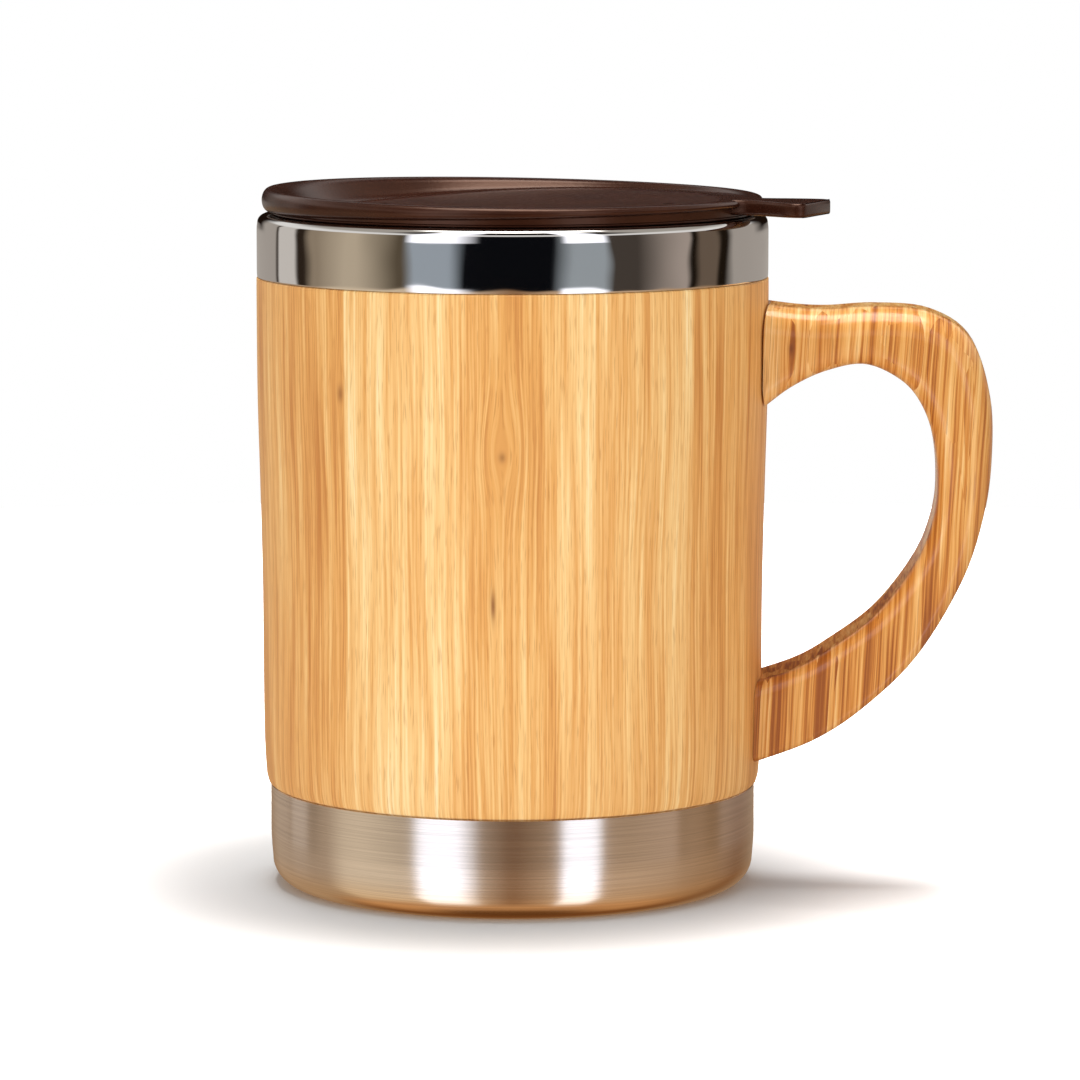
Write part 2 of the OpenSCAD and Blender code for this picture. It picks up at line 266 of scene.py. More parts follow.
def turn(name: str, outline: Sequence[Point], hollow: bool = True) -> Piece:
    """Draw a ring of edges and extrude it from point to point of an outline.

    Args:
        name: Name of the new piece.
        outline: Radius and height of each ring, in the order they are drawn.
        hollow: True where the last ring meets the first, False where both are closed by a disc.

    Returns:
        The round piece.
    """
    bpy.ops.object.select_all(action="DESELECT")
    radius, height = outline[0]
    bpy.ops.mesh.primitive_circle_add(vertices=SIDES, radius=radius * MM, location=(0, 0, height * MM))
    piece = bpy.context.active_object
    piece.name = piece.data.name = name
    bpy.ops.object.mode_set(mode="EDIT")
    for next_radius, next_height in outline[1:]:
        rise = (0, 0, (next_height - height) * MM)
        bpy.ops.mesh.extrude_edges_move(TRANSFORM_OT_translate={"value": rise})
        grow = next_radius / radius
        bpy.ops.transform.resize(value=(grow, grow, 1), center_override=(0, 0, next_height * MM))
        radius, height = next_radius, next_height
    bpy.ops.mesh.select_all(action="DESELECT")
    bpy.ops.mesh.select_non_manifold()
    if hollow:
        bpy.ops.mesh.bridge_edge_loops()
    else:
        bpy.ops.mesh.select_all(action="SELECT")
        bpy.ops.mesh.fill_holes(sides=0)
    bpy.ops.object.mode_set(mode="OBJECT")
    return finish_piece(piece)


def drum(reach: float, radius: float, height: float, sides: int, depth: float = 14) -> Piece:
    """Model an upright drum, to cut with.

    Args:
        reach: Where its axis stands along X.
        radius: Its radius.
        height: Height of its middle.
        sides: Number of its sides.
        depth: How tall it is.

    Returns:
        The drum.
    """
    bpy.ops.object.select_all(action="DESELECT")
    bpy.ops.mesh.primitive_cylinder_add(
        vertices=sides, radius=radius * MM, depth=depth * MM, location=(reach * MM, 0, height * MM)
    )
    return finish_piece(bpy.context.active_object)


def pick(kind: Element, chosen: Callable[[Any], bool]) -> None:
    """Select vertices or edges of the mesh in edit mode, with all that lies between them.

    Args:
        kind: What is selected.
        chosen: Says of a vertex or an edge whether it is wanted.
    """
    bpy.ops.mesh.select_all(action="DESELECT")
    bpy.ops.mesh.select_mode(type=kind.value)
    data = bpy.context.edit_object.data
    mesh = bmesh.from_edit_mesh(data)
    for element in mesh.verts if kind is Element.VERTEX else mesh.edges:
        element.select = chosen(element)
    mesh.select_flush_mode()
    bmesh.update_edit_mesh(data)


def make_active(piece: Piece) -> None:
    """Select one object alone and make it the active one.

    Args:
        piece: The object.
    """
    bpy.ops.object.select_all(action="DESELECT")
    piece.select_set(True)
    bpy.context.view_layer.objects.active = piece


def apply_modifier(piece: Piece, kind: str, **settings: object) -> None:
    """Put a modifier on a piece and apply it.

    Args:
        piece: The piece.
        kind: Type of the modifier.
        **settings: Its settings.
    """
    make_active(piece)
    modifier = piece.modifiers.new(kind, kind)
    for name, setting in settings.items():
        setattr(modifier, name, setting)
    bpy.ops.object.modifier_apply(modifier=modifier.name)


def use_up(tool: Piece, piece: Piece, way: Boolean) -> None:
    """Cut a tool out of a piece or join it to the piece, and delete the tool.

    Args:
        tool: The solid that is used up.
        piece: The piece that changes.
        way: Whether it is cut or joined.
    """
    apply_modifier(piece, "BOOLEAN", operation=way.value, solver="EXACT", object=tool)
    bpy.data.objects.remove(tool)


def dress(piece: Piece, material: Material, slot: Slot, body: Body, *nodes: str) -> None:
    """Give a finished piece its material, its body and the solids that it stands for.

    Args:
        piece: The finished piece.
        material: Its finish.
        slot: The record's material slot. Not used.
        body: The body that it rides on.
        *nodes: Names of the solids that it replaces.
    """
    piece.data.materials.clear()
    piece.data.materials.append(material)
    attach(piece, body.value)
    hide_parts(*nodes)
    LOG.info("%s: %d faces, rides on %s", piece.name, len(piece.data.polygons), body.value)


# ---- Finishes ----------------------------------------------------------------------------------

# How far apart in the noise two strips lie, and how many times its width a streak runs into the wood
CANE_STEP = 900.0
INTO_WOOD = 25
# Levels of the finest noise between which a fibre end shows, and the colour of a knot's spot
FIBRE_BAND = (0.54, 0.7)
KNOT_COLOUR = "7A3E14"
# Lengths in millimetres: brush marks, waves of sheet steel, flow streaks, skin of plastic, clouds
MARK_L, WAVE_L, FLOW_L, SKIN_L, CLOUD_L = 30, 7, 9, 0.8, 6


@dataclass(frozen=True)
class Knot:
    """A knot with the grain led round it like an eye.

    Attributes:
        across: Place across the grain.
        along: Place along the grain.
        eye_w: Half width of the eye.
        eye_h: Half height of the eye.
        spot_w: Half width of the dark spot in it.
        spot_h: Half height of the spot.
        spot_up: How far the spot lies above the eye's middle.
        strength: How dark the spot is, from 0 to 1.
    """

    across: float
    along: float
    eye_w: float
    eye_h: float
    spot_w: float
    spot_h: float
    spot_up: float
    strength: float


@dataclass(frozen=True)
class Grain:
    """One layer of grain: noise drawn out along the wood.

    Attributes:
        width: Width of one streak.
        length: Length of one streak.
        weight: How strong the layer is.
    """

    width: float
    length: float
    weight: float


@dataclass(frozen=True)
class StripBamboo:
    """Bamboo strips glued side by side, sanded and lacquered.

    Each strip has its own tone. Along it run streaks of several widths and short dark fibre ends,
    which tell bamboo from other wood. The lacquer gives it a soft shine.

    Attributes:
        name: Name of the finish.
        tones: Colour ramp of the wood, from its fibre ends to its palest streaks.
        layers: Layers of grain, coarse to fine.
        tone_weight: How much the strips differ.
        fibres: Fibre ends. The real ones are 0.2 to 0.3 mm wide.
        fibre_tone: Colour of the fibre ends.
        wander: How far the grain strays from a straight line.
        coat: Weight of the lacquer.
        coat_roughness: Roughness of the lacquer.
        knots: Knots in the wood.
        foot_darkening: How much darker the wood is towards its foot.
        foot_darkening_h: Places along the grain between which that fades.
    """

    name: str
    tones: Stops
    layers: tuple[Grain, ...]
    tone_weight: float
    fibres: Grain
    fibre_tone: str
    wander: float
    coat: float
    coat_roughness: float
    knots: tuple[Knot, ...] = ()
    foot_darkening: float = 0.0
    foot_darkening_h: Point = (0.0, 1.0)

    def material(self, strips: Strips) -> Material:
        """Build the material.

        Args:
            strips: Adds the nodes that give the place in the wood in millimetres (across the grain,
                into the wood, along the grain) and the tone of the strip there from 0 to 1.

        Returns:
            The finished material.
        """
        material, add = new_material(self.name)
        place, tone = strips(add)
        place = self.stray(add, place)
        spots: Node | float = 0.0
        for knot in self.knots:
            place, spot = self.around_knot(add, knot, place)
            spots = add("Math", spots, spot, operation="MAXIMUM")
        height = add("SeparateXYZ", place).outputs[2]
        cane = add("Math", tone, CANE_STEP, operation="MULTIPLY")
        cane = add("CombineXYZ", sockets={2: cane})
        place = add("VectorMath", place, cane, operation="ADD")
        noises = []
        for layer in (*self.layers, self.fibres):
            drawn = (1 / layer.width, 1 / (layer.width * INTO_WOOD), 1 / layer.length)
            squeezed = add("VectorMath", place, drawn, operation="MULTIPLY")
            sockets = {"Vector": squeezed, "Scale": 1.0, "Detail": 1.0}
            noises.append(add("TexNoise", sockets=sockets))
        middle = 0.5 - (self.tone_weight + sum(layer.weight for layer in self.layers)) / 2
        # The wood is made darker towards its foot.
        foot = middle - self.foot_darkening
        foot_dark_level = add("MapRange", height, *self.foot_darkening_h, foot, middle, **SMOOTH)
        level = add("Math", tone, self.tone_weight, foot_dark_level, operation="MULTIPLY_ADD")
        for layer, noise in zip(self.layers, noises):
            level = add("Math", noise, layer.weight, level, operation="MULTIPLY_ADD")
        wood = add("ValToRGB", level, stops=self.tones)
        fleck = add("MapRange", noises[-1], *FIBRE_BAND, 0.0, self.fibres.weight, **SMOOTH)
        wood = add("Mix", fleck, sockets={6: wood, 7: linear(self.fibre_tone)}, **RGBA)
        wood = add("Mix", spots, sockets={6: wood.outputs[2], 7: linear(KNOT_COLOUR)}, **RGBA)
        bump = {"Strength": 0.1, "Distance": 0.03 * MM, "Height": noises[-1]}
        sockets = {
            "Base Color": wood.outputs[2],
            "Roughness": 0.5,
            "IOR": 1.5,
            "Coat Weight": self.coat,
            "Coat Roughness": self.coat_roughness,
            "Normal": add("Bump", sockets=bump),
        }
        add("OutputMaterial", add("BsdfPrincipled", sockets=sockets))
        return material

    def stray(self, add: Adder, place: Node) -> Node:
        """Let the grain stray from a straight line, in long waves and in short ones.

        Args:
            add: add_node for the material.
            place: Place in the wood.

        Returns:
            The new place in the wood.
        """
        for across, along, share in ((14.0, 45.0, 1.0), (3.0, 11.0, 0.16)):
            drawn = (1 / across, 1 / (across * 6), 1 / along)
            wave = add("VectorMath", place, drawn, operation="MULTIPLY")
            noise = add("TexNoise", sockets={"Vector": wave, "Scale": 1.0, "Detail": 0.0})
            push = add("Math", noise, self.wander * share, operation="MULTIPLY")
            place = add("VectorMath", place, add("CombineXYZ", push), operation="ADD")
        return place

    @staticmethod
    def around_knot(add: Adder, knot: Knot, place: Node) -> tuple[Node, Node]:
        """Lead the grain round a knot and darken its spot.

        Args:
            add: add_node for the material.
            knot: The knot.
            place: Place in the wood.

        Returns:
            The new place in the wood, and the darkness of the spot from 0 to 1.
        """
        falls = []
        for half_w, half_h, up in ((knot.eye_w, knot.eye_h, 0.0), (knot.spot_w, knot.spot_h, knot.spot_up)):
            middle = (knot.across, 0.0, knot.along + up)
            away = add("VectorMath", place, middle, operation="SUBTRACT")
            sized = add("VectorMath", away, (1 / half_w, 0.0, 1 / half_h), operation="MULTIPLY")
            far = add("VectorMath", sized, sized, operation="DOT_PRODUCT").outputs[1]
            falls.append(add("Math", math.exp(-1), far, operation="POWER"))
        eye, spot = falls
        aside = add("VectorMath", place, (knot.across, 0.0, 0.0), operation="SUBTRACT")
        pull = add("VectorMath", aside, add("CombineXYZ", eye), operation="MULTIPLY")
        led = add("VectorMath", place, pull, operation="SUBTRACT")
        dark = add("Math", spot, knot.strength, operation="MULTIPLY")
        return led, dark


@dataclass(frozen=True)
class Steel:
    """Stainless steel sheet, polished or brushed.

    Attributes:
        name: Name of the finish.
        colour: Colour of the metal.
        roughness: Roughness of the surface.
        brushed: How far the brush marks stretch a highlight, from 0 to 1.
        mark_h: Height of one brush mark, a few times that of real ones, which are too fine to show.
        mark_tone: How much the brush marks differ in tone.
        foot_painted_reflection: Painted reflection: a warm colour put into the metal's colour at its foot,
            for what the metal mirrors there.
        painted_reflection_h: Height over which that painted reflection fades.
        waves: Depth of the shallow waves that rolled sheet keeps.
    """

    name: str
    colour: str
    roughness: float
    brushed: float = 0.0
    mark_h: float = 0.0
    mark_tone: float = 0.0
    foot_painted_reflection: str = ""
    painted_reflection_h: float = 0.0
    waves: float = 0.0

    def material(self) -> Material:
        """Build the material.

        Returns:
            The finished material.
        """
        material, add = new_material(self.name)
        place = add("TexCoord").outputs["Object"]
        inputs = {"Base Color": linear(self.colour), "Metallic": 1.0, "Roughness": self.roughness}
        if self.brushed:
            drawn = (1 / (MARK_L * MM), 1 / (MARK_L * MM), 1 / (self.mark_h * MM))
            squeezed = add("VectorMath", place, drawn, operation="MULTIPLY")
            marks = add("TexNoise", sockets={"Vector": squeezed, "Scale": 1.0, "Detail": 3.0})
            tone = add("MapRange", marks, 0.3, 0.7, 1 - self.mark_tone, 1 + self.mark_tone)
            height = add("SeparateXYZ", place).outputs[2]
            # Painted reflection: the metal's colour turns to a warm tint towards the foot, for what it
            # mirrors there.
            fade = add("MapRange", height, 0.0, self.painted_reflection_h * MM, 1.0, 0.0, **SMOOTH)
            reflection_tints = {6: linear(self.colour), 7: linear(self.foot_painted_reflection or self.colour)}
            reflection_tinted = add("Mix", fade, sockets=reflection_tints, **RGBA).outputs[2]
            bump = {"Strength": 0.15, "Distance": 0.02 * MM, "Height": marks}
            inputs |= {
                "Base Color": add("VectorMath", reflection_tinted, operation="SCALE", sockets={3: tone}),
                "Anisotropic": self.brushed,
                "Anisotropic Rotation": 0.25,
                "Tangent": add("Tangent", direction_type="RADIAL", axis="Z"),
                "Normal": add("Bump", sockets=bump),
            }
        if self.waves:
            swell = add("TexNoise", place, sockets={"Scale": 1 / (WAVE_L * MM), "Detail": 0.0})
            bump = {"Strength": 1.0, "Distance": self.waves * MM, "Height": swell}
            inputs["Normal"] = add("Bump", sockets=bump)
        add("OutputMaterial", add("BsdfPrincipled", sockets=inputs))
        return material


@dataclass(frozen=True)
class MouldedPlastic:
    """Dark polypropylene out of a polished mould, with a grained floor.

    Attributes:
        name: Name of the finish.
        colour: Colour of the plastic.
        streak: Colour of its flow streaks.
        roughness: Roughness of the smooth parts.
        grain_size: Distance between the pebbles of the grain.
        grain_depth: Height of the pebbles.
        grain_r: Radius inside which the top is grained.
        grain_fade: Width over which the grain fades out.
        grain_z: Height above which the surface is grained.
    """

    name: str
    colour: str
    streak: str
    roughness: float
    grain_size: float
    grain_depth: float
    grain_r: float
    grain_fade: float
    grain_z: float

    def material(self) -> Material:
        """Build the material.

        Returns:
            The finished material.
        """
        material, add = new_material(self.name)
        place = add("TexCoord").outputs["Object"]
        parts = add("SeparateXYZ", place)
        flat = add("CombineXYZ", parts.outputs[0], parts.outputs[1], 0.0)
        reach = add("VectorMath", flat, operation="LENGTH").outputs[1]
        full_r = self.grain_r - self.grain_fade
        inside = add("MapRange", reach, full_r * MM, self.grain_r * MM, 1.0, 0.0, **SMOOTH)
        above = add("Math", parts.outputs[2], self.grain_z * MM, operation="GREATER_THAN")
        grained = add("Math", inside, above, operation="MULTIPLY")
        cells = {"Scale": 1 / (self.grain_size * MM), "Smoothness": 0.6, "Randomness": 1.0}
        pebbles = add("TexVoronoi", place, feature="SMOOTH_F1", sockets=cells)
        flow = add("TexNoise", place, sockets={"Scale": 1 / (FLOW_L * MM), "Detail": 3.0})
        skin = add("TexNoise", place, sockets={"Scale": 1 / (SKIN_L * MM), "Detail": 2.0})
        pebble_h = add("Math", pebbles, grained, operation="MULTIPLY")
        height = add("Math", skin, 0.06, pebble_h, operation="MULTIPLY_ADD")
        colour = add("ValToRGB", flow, stops=((0.32, self.colour), (0.72, self.streak)))
        bump = {"Strength": 1.0, "Distance": self.grain_depth * MM, "Height": height}
        sockets = {
            "Base Color": colour,
            "Roughness": add("MapRange", grained, 0.0, 1.0, self.roughness, self.roughness + 0.06),
            "IOR": 1.49,
            "Specular Tint": linear("FFC8AC"),
            "Normal": add("Bump", sockets=bump),
        }
        add("OutputMaterial", add("BsdfPrincipled", sockets=sockets))
        return material


@dataclass(frozen=True)
class Silicone:
    """Clear-white silicone rubber: soft, matte and slightly cloudy.

    Attributes:
        name: Name of the finish.
        colour: Colour of the rubber.
    """

    name: str
    colour: str

    def material(self) -> Material:
        """Build the material.

        Returns:
            The finished material.
        """
        material, add = new_material(self.name)
        place = add("TexCoord").outputs["Object"]
        cloud = add("TexNoise", place, sockets={"Scale": 1 / (CLOUD_L * MM), "Detail": 2.0})
        colour = add("ValToRGB", cloud, stops=((0.3, "C9C9C2"), (0.7, self.colour)))
        sockets = {"Base Color": colour, "Roughness": 0.55, "IOR": 1.41, "Subsurface Weight": 0.1}
        add("OutputMaterial", add("BsdfPrincipled", sockets=sockets))
        return material


# ---- Sub-assemblies ----------------------------------------------------------------------------

# Steps along the sleeve's outline, and the radius at which widths round it are measured
BARREL_STEPS = 48
WRAP_R = 42.0
# Range of the tones and of the widths in degrees of the strips that are drawn at random
STRIP_TONES = (90, 190)
STRIP_ANGLES = (9, 17)


@dataclass
class SteelShell:
    """The steel of the cup: polished collar, drawn liner and brushed base.

    Attributes:
        lip_z: Height of the lip.
        collar_r: Outer radius of the collar.
        collar_foot_z: Height of the collar's lower edge.
        sheet: Thickness of the steel.
        mouth_r: Radius of the mouth.
        neck_r: Outer radius of the neck inside the sleeve.
        neck_foot_z: Height of the neck's lower edge.
        liner_r: Inner radius of the liner.
        liner_z: Height of the liner's underside.
        liner_corner: Corner radius of the liner.
        base_r: Outer radius of the base.
        base_h: Height of the base.
        base_corner: Radius of the base's lower corner.
        recess_r: Radius of the recess under the base.
    """

    lip_z: float = 112.0
    collar_r: float = 42.5
    collar_foot_z: float = 101.7
    sheet: float = 0.6
    mouth_r: float = 38.0
    neck_r: float = 38.25
    neck_foot_z: float = 4.2
    liner_r: float = 34.65
    liner_z: float = 9.0
    liner_corner: float = 6.0
    base_r: float = 40.6
    base_h: float = 17.0
    base_corner: float = 4.2
    recess_r: float = 29.0

    def collar(self) -> Piece:
        """Model the outer wall: a collar with a soft shoulder, stepped in to the neck.

        Its wall leans in a little towards both edges, as a polished edge does, and that draws the
        white flares at the top and foot of its reflections.

        Returns:
            The finished piece.
        """
        r, top, foot, t = self.collar_r, self.lip_z, self.collar_foot_z, self.sheet
        inner = self.mouth_r + t
        outline = [
            (self.neck_r, foot), (r - 0.15, foot), (r - 0.05, foot + 0.08), (r - 0.034, foot + 0.18),
            (r - 0.028, foot + 0.3), (r - 0.014, foot + 0.7), (r, foot + 1.4), (r, top - 2.7),
            (r - 0.01, top - 2.3), (r - 0.03, top - 1.9), (r - 0.08, top - 1.55),
            *arc((r - 1.55, top - 1.35), (1.45, 1.35), 0, 90, 12)[1:],
            (inner, top), (inner, top - t), *arc((r - 2.0, top - 2.0), (1.4, 1.4), 90, 0, 6),
            (r - t, foot + t), (self.neck_r - t, foot + t), (self.neck_r - t, self.neck_foot_z),
            (self.neck_r, self.neck_foot_z),
        ]
        return turn("Collar", outline)

    def liner(self) -> Piece:
        """Model the drawn liner with its straight mouth, cone, wall and rounded bottom.

        Returns:
            The finished piece.
        """
        t, r, z, corner = self.sheet, self.liner_r, self.liner_z, self.liner_corner
        cone_top, cone_foot = self.collar_foot_z + 2.3, self.collar_foot_z - 1.2
        centre = (r - corner, z + t + corner)
        outline = [
            (1.0, z), *arc(centre, (corner + t, corner + t), -90, 0, 10), (r + t, cone_foot),
            (self.mouth_r + t - 0.02, cone_top), (self.mouth_r + t - 0.02, self.lip_z),
            *arc((self.mouth_r + 0.42, self.lip_z - 0.42), (0.42, 0.42), 90, 180, 6),
            (self.mouth_r, cone_top + 0.4), (self.mouth_r - 0.2, cone_top - 0.3),
            (r + 0.25, cone_foot + 0.4), (r, cone_foot - 0.4),
            *arc(centre, (corner, corner), 0, -90, 10), (1.0, z + t),
        ]
        return turn("Liner", outline, hollow=False)

    def base(self) -> Piece:
        """Model the pressed base with its recess, rounded corner and turned-in rim.

        Returns:
            The finished piece.
        """
        r, t, corner = self.base_r, self.sheet, self.base_corner
        centre = (r - 0.3 - corner, corner)
        outline = [
            (1.0, 1.0), (self.recess_r - 1.4, 1.0), (self.recess_r - 0.7, 0.75),
            (self.recess_r - 0.2, 0.2), (self.recess_r + 0.5, 0.0),
            *arc(centre, (corner, corner), -90, 0, 14), (r - 0.12, 6.4), (r - 0.02, 8.2), (r, 9.4),
            (r, self.base_h - 0.25), (r - 0.25, self.base_h), (self.neck_r + 0.02, self.base_h),
            (self.neck_r + 0.02, self.base_h - t), (r - t, self.base_h - t), (r - t, 9.0),
            *arc(centre, (corner - t, corner - t), 0, -90, 8), (self.recess_r + 0.3, t),
            (self.recess_r - 0.8, 1.0 + t), (1.0, 1.0 + t),
        ]
        return turn("Base", outline, hollow=False)

    def build(self, frame: dict) -> None:
        """Model and dress the steel, and finish the steel parts that stay out of sight.

        Args:
            frame: The loaded model.
        """
        mirror = Steel("Mirror-polished stainless steel", "DCDAD8", 0.045, waves=0.14)
        satin = Steel("Satin drawn stainless steel", "BDB9B4", 0.28, 0.4, 0.5, 0.04)
        name = "Stainless steel brushed round the axis"
        # The warm colour at its foot (E6C79C) is a painted reflection.
        brushed = Steel(name, "E3DCD7", 0.19, 0.8, 0.2, 0.1, "E6C79C", 7.0)
        dress(self.collar(), mirror.material(), Slot.COLLAR, Body.CUP, "outer_wall")
        dress(self.liner(), satin.material(), Slot.LINER, Body.CUP, "inner_cup")
        dress(self.base(), brushed.material(), Slot.BASE, Body.CUP, "base_cup")
        plated = Steel("Zinc-plated steel", "8F9091", 0.35, 0.2, 0.4, 0.05).material()
        hidden = {"bottom_disc": satin.material(), "handle_screw_upper": plated, "handle_screw_lower": plated}
        for node, material in hidden.items():
            frame["nodes"][node].data.materials.clear()
            frame["nodes"][node].data.materials.append(material)


@dataclass
class BambooBody:
    """The bamboo of the cup: the barrel-shaped sleeve and the hook handle.

    Attributes:
        foot_z: Height of the sleeve's lower edge.
        top_z: Height of the sleeve's upper edge.
        base_r: Radius of the steel base that the barrel grows from.
        base_inset: How far the base lies inside the collar.
        bore_r: Radius of the sleeve's bore.
        barrel: Outline of the barrel, as shares of its height and of the base inset.
        handle_z: Height of the handle's lower end.
        handle_h: Height of the handle.
        handle_back_x: Reach of the handle's back from the axis.
        handle_w: Thickness of the handle's board.
        seat_x: Reach of the handle's upper and lower end.
        stations: The handle's inner and outer edge, as shares of its reach and height.
        edge_rounding: Rounding of the outer and the inner edges, at the upper arm and at the lower.
        rounding_fade: How fast and how late the rounding grows up the handle.
        steps: Number of steps along the handle.
        sunk: How far its ends run into the sleeve before they are coved.
        cove_gap: Gap between cove and sleeve at the lower end, and how much more at the upper.
        cove_h: Height where the gap begins to grow, and over how much height it does.
        stick: Width and depth of one stick of the handle's board.
    """

    foot_z: float = 17.0
    top_z: float = 101.7
    base_r: float = 40.6
    base_inset: float = 1.9
    bore_r: float = 38.4
    barrel: tuple[Point, ...] = (
        (0, 0.06), (0.01, 0.28), (0.03, 0.4), (0.09, 0.53), (0.2, 0.59), (0.4, 0.63), (0.6, 0.81),
        (0.78, 1), (1, 1.04),
    )
    handle_z: float = 21.9
    handle_h: float = 75.6
    handle_back_x: float = 79.6
    handle_w: float = 19.5
    seat_x: Point = (41.9, 41.0)
    stations: tuple[tuple[float, float, float, float], ...] = (
        (0, 0.775, 0, 1), (0.125, 0.821, 0.15, 0.991), (0.275, 0.856, 0.285, 0.989),
        (0.445, 0.871, 0.485, 0.995), (0.6, 0.837, 0.725, 0.984), (0.69, 0.785, 0.905, 0.925),
        (0.745, 0.71, 0.99, 0.8), (0.765, 0.62, 1.0, 0.67), (0.75, 0.535, 0.97, 0.545),
        (0.675, 0.435, 0.88, 0.4), (0.505, 0.32, 0.69, 0.235), (0.3, 0.24, 0.465, 0.12),
        (0.165, 0.2, 0.25, 0.045), (0, 0.17, 0, -0.005),
    )
    edge_rounding: tuple[float, float, float, float] = (5.4, 3.3, 1.4, 2.7)
    rounding_fade: Point = (2.6, 0.5)
    steps: int = 84
    sunk: float = 2.5
    cove_gap: Point = (0.06, 0.3)
    cove_h: Point = (50, 25)
    stick: Point = (2.6, 7.0)

    def barrel_at(self, share: float) -> Point:
        """Give a point of the sleeve's outside.

        Args:
            share: Height as a share of the curve's length.

        Returns:
            Radius and height.
        """
        height_share, inset_share = through(self.barrel, share)
        height = self.foot_z + height_share * (self.top_z - self.foot_z)
        return self.base_r + inset_share * self.base_inset, height

    def sleeve(self) -> Piece:
        """Model the sleeve with its lightly broken edges.

        Returns:
            The finished piece.
        """
        wall = [self.barrel_at(i / BARREL_STEPS) for i in range(2, BARREL_STEPS)]
        wall = [p for p in wall if self.foot_z + 0.6 < p[1] < self.top_z - 0.35]
        low_r, top_r = self.barrel_at(0)[0], self.barrel_at(1)[0]
        outline = [
            (self.bore_r, self.foot_z + 0.02), (low_r - 0.05, self.foot_z + 0.02),
            (low_r + 0.22, self.foot_z + 0.22),
            *wall,
            (top_r - 0.02, self.top_z - 0.3), (top_r - 0.22, self.top_z - 0.06),
            (self.bore_r, self.top_z - 0.06),
        ]
        return turn("Sleeve", outline)

    def edges_at(self, share: float) -> tuple[Vector, Vector]:
        """Give the handle's inner and outer edge.

        Args:
            share: Place along the handle, from its upper end.

        Returns:
            The two points in the handle's middle plane, in metres.
        """
        s = through(self.stations, share)
        seat = self.seat_x[0] + (self.seat_x[1] - self.seat_x[0]) * share
        span = self.handle_back_x - seat
        inner = Vector((seat + s[0] * span, 0, self.handle_z + s[1] * self.handle_h)) * MM
        outer = Vector((seat + s[2] * span, 0, self.handle_z + s[3] * self.handle_h)) * MM
        return inner, outer

    def handle(self) -> Piece:
        """Model the handle: a board end extruded along the hook, with rounded edges and coved ends.

        Returns:
            The finished piece.
        """
        places = [self.edges_at(i / self.steps) for i in range(self.steps + 1)]
        inward = Vector((-self.sunk * MM, 0, 0))
        places = [tuple(p + inward for p in places[0]), *places, tuple(p + inward for p in places[-1])]
        inner, outer = places[0]
        bpy.ops.object.select_all(action="DESELECT")
        bpy.ops.mesh.primitive_plane_add(size=1, location=(inner + outer) / 2, rotation=(0, math.pi / 2, 0))
        piece = bpy.context.active_object
        piece.name = piece.data.name = "Handle"
        bpy.ops.transform.resize(value=(1, self.handle_w * MM, (outer - inner).length))
        bpy.ops.object.transform_apply(location=True, rotation=True, scale=True)
        bpy.ops.object.mode_set(mode="EDIT")
        for next_inner, next_outer in places[1:]:
            bpy.ops.mesh.extrude_region_move(TRANSFORM_OT_translate={"value": (0, 0, 0)})
            self.move_end_edge(inner, next_inner - inner, next_outer - outer)
            inner, outer = next_inner, next_outer
        bpy.ops.object.mode_set(mode="OBJECT")
        finish_piece(piece)
        self.round_edges(piece, places)
        use_up(self.cove(), piece, Boolean.CUT)
        finish_piece(piece, 40)
        apply_modifier(piece, "WEIGHTED_NORMAL", keep_sharp=True)
        return piece

    def move_end_edge(self, inner: Vector, inner_move: Vector, outer_move: Vector) -> None:
        """Move the inner and the outer edge of the selected end face to the next station.

        Args:
            inner: Where the inner edge is now.
            inner_move: How far it goes.
            outer_move: How far the outer edge goes.
        """
        mesh = bmesh.from_edit_mesh(bpy.context.edit_object.data)
        chosen = (vert for vert in mesh.verts if vert.select)
        ends = sorted(chosen, key=lambda vert: (Vector((vert.co.x, 0, vert.co.z)) - inner).length)
        mesh.verts.index_update()
        groups = ({v.index for v in ends[:2]}, {v.index for v in ends[2:]})
        for group, move in zip(groups, (inner_move, outer_move)):
            pick(Element.VERTEX, lambda vert: vert.index in group)
            bpy.ops.transform.translate(value=move)
        pick(Element.VERTEX, lambda vert: vert.index in groups[0] | groups[1])

    def round_edges(self, piece: Piece, places: Sequence[tuple[Vector, Vector]]) -> None:
        """Round the four long edges of the handle, most at the upper arm.

        Args:
            piece: The handle with square edges.
            places: Inner and outer edge at each station.
        """
        outer_r, inner_r, low_outer_r, low_inner_r = self.edge_rounding
        growth, lateness = self.rounding_fade
        last = len(places) - 1
        corners = []
        for i, (inner, outer) in enumerate(places):
            fade = min(1.0, max(0.0, (1 - i / last) * growth - lateness))
            corners.append((inner, i, low_inner_r + (inner_r - low_inner_r) * fade))
            corners.append((outer, i, low_outer_r + (outer_r - low_outer_r) * fade))
        stations = []
        for vert in piece.data.vertices:
            flat = Vector((vert.co.x, 0, vert.co.z))
            stations.append(min(corners, key=lambda corner: (corner[0] - flat).length_squared)[1:])
        weights = piece.data.attributes.new("bevel_weight_edge", "FLOAT", "EDGE")
        for edge in piece.data.edges:
            a, b = edge.vertices
            (first, radius_a), (second, radius_b) = stations[a], stations[b]
            if first != second:
                weights.data[edge.index].value = (radius_a + radius_b) / 2 / outer_r
        bevel = {"limit_method": "WEIGHT", "width": outer_r * MM, "segments": 12, "use_clamp_overlap": False}
        apply_modifier(piece, "BEVEL", **bevel)

    def cove(self) -> Piece:
        """Model the tool that coves the handle's ends to the sleeve, with a shadow gap at the upper one.

        Returns:
            The solid to cut away.
        """
        wall = []
        for i in range(BARREL_STEPS + 1):
            radius, height = self.barrel_at(i / BARREL_STEPS)
            upper = min(1.0, max(0.0, (height - self.cove_h[0]) / self.cove_h[1]))
            wall.append((radius + self.cove_gap[0] + self.cove_gap[1] * upper, height))
        return turn("Cove", [(1.0, self.foot_z), *wall, (1.0, self.top_z)], hollow=False)

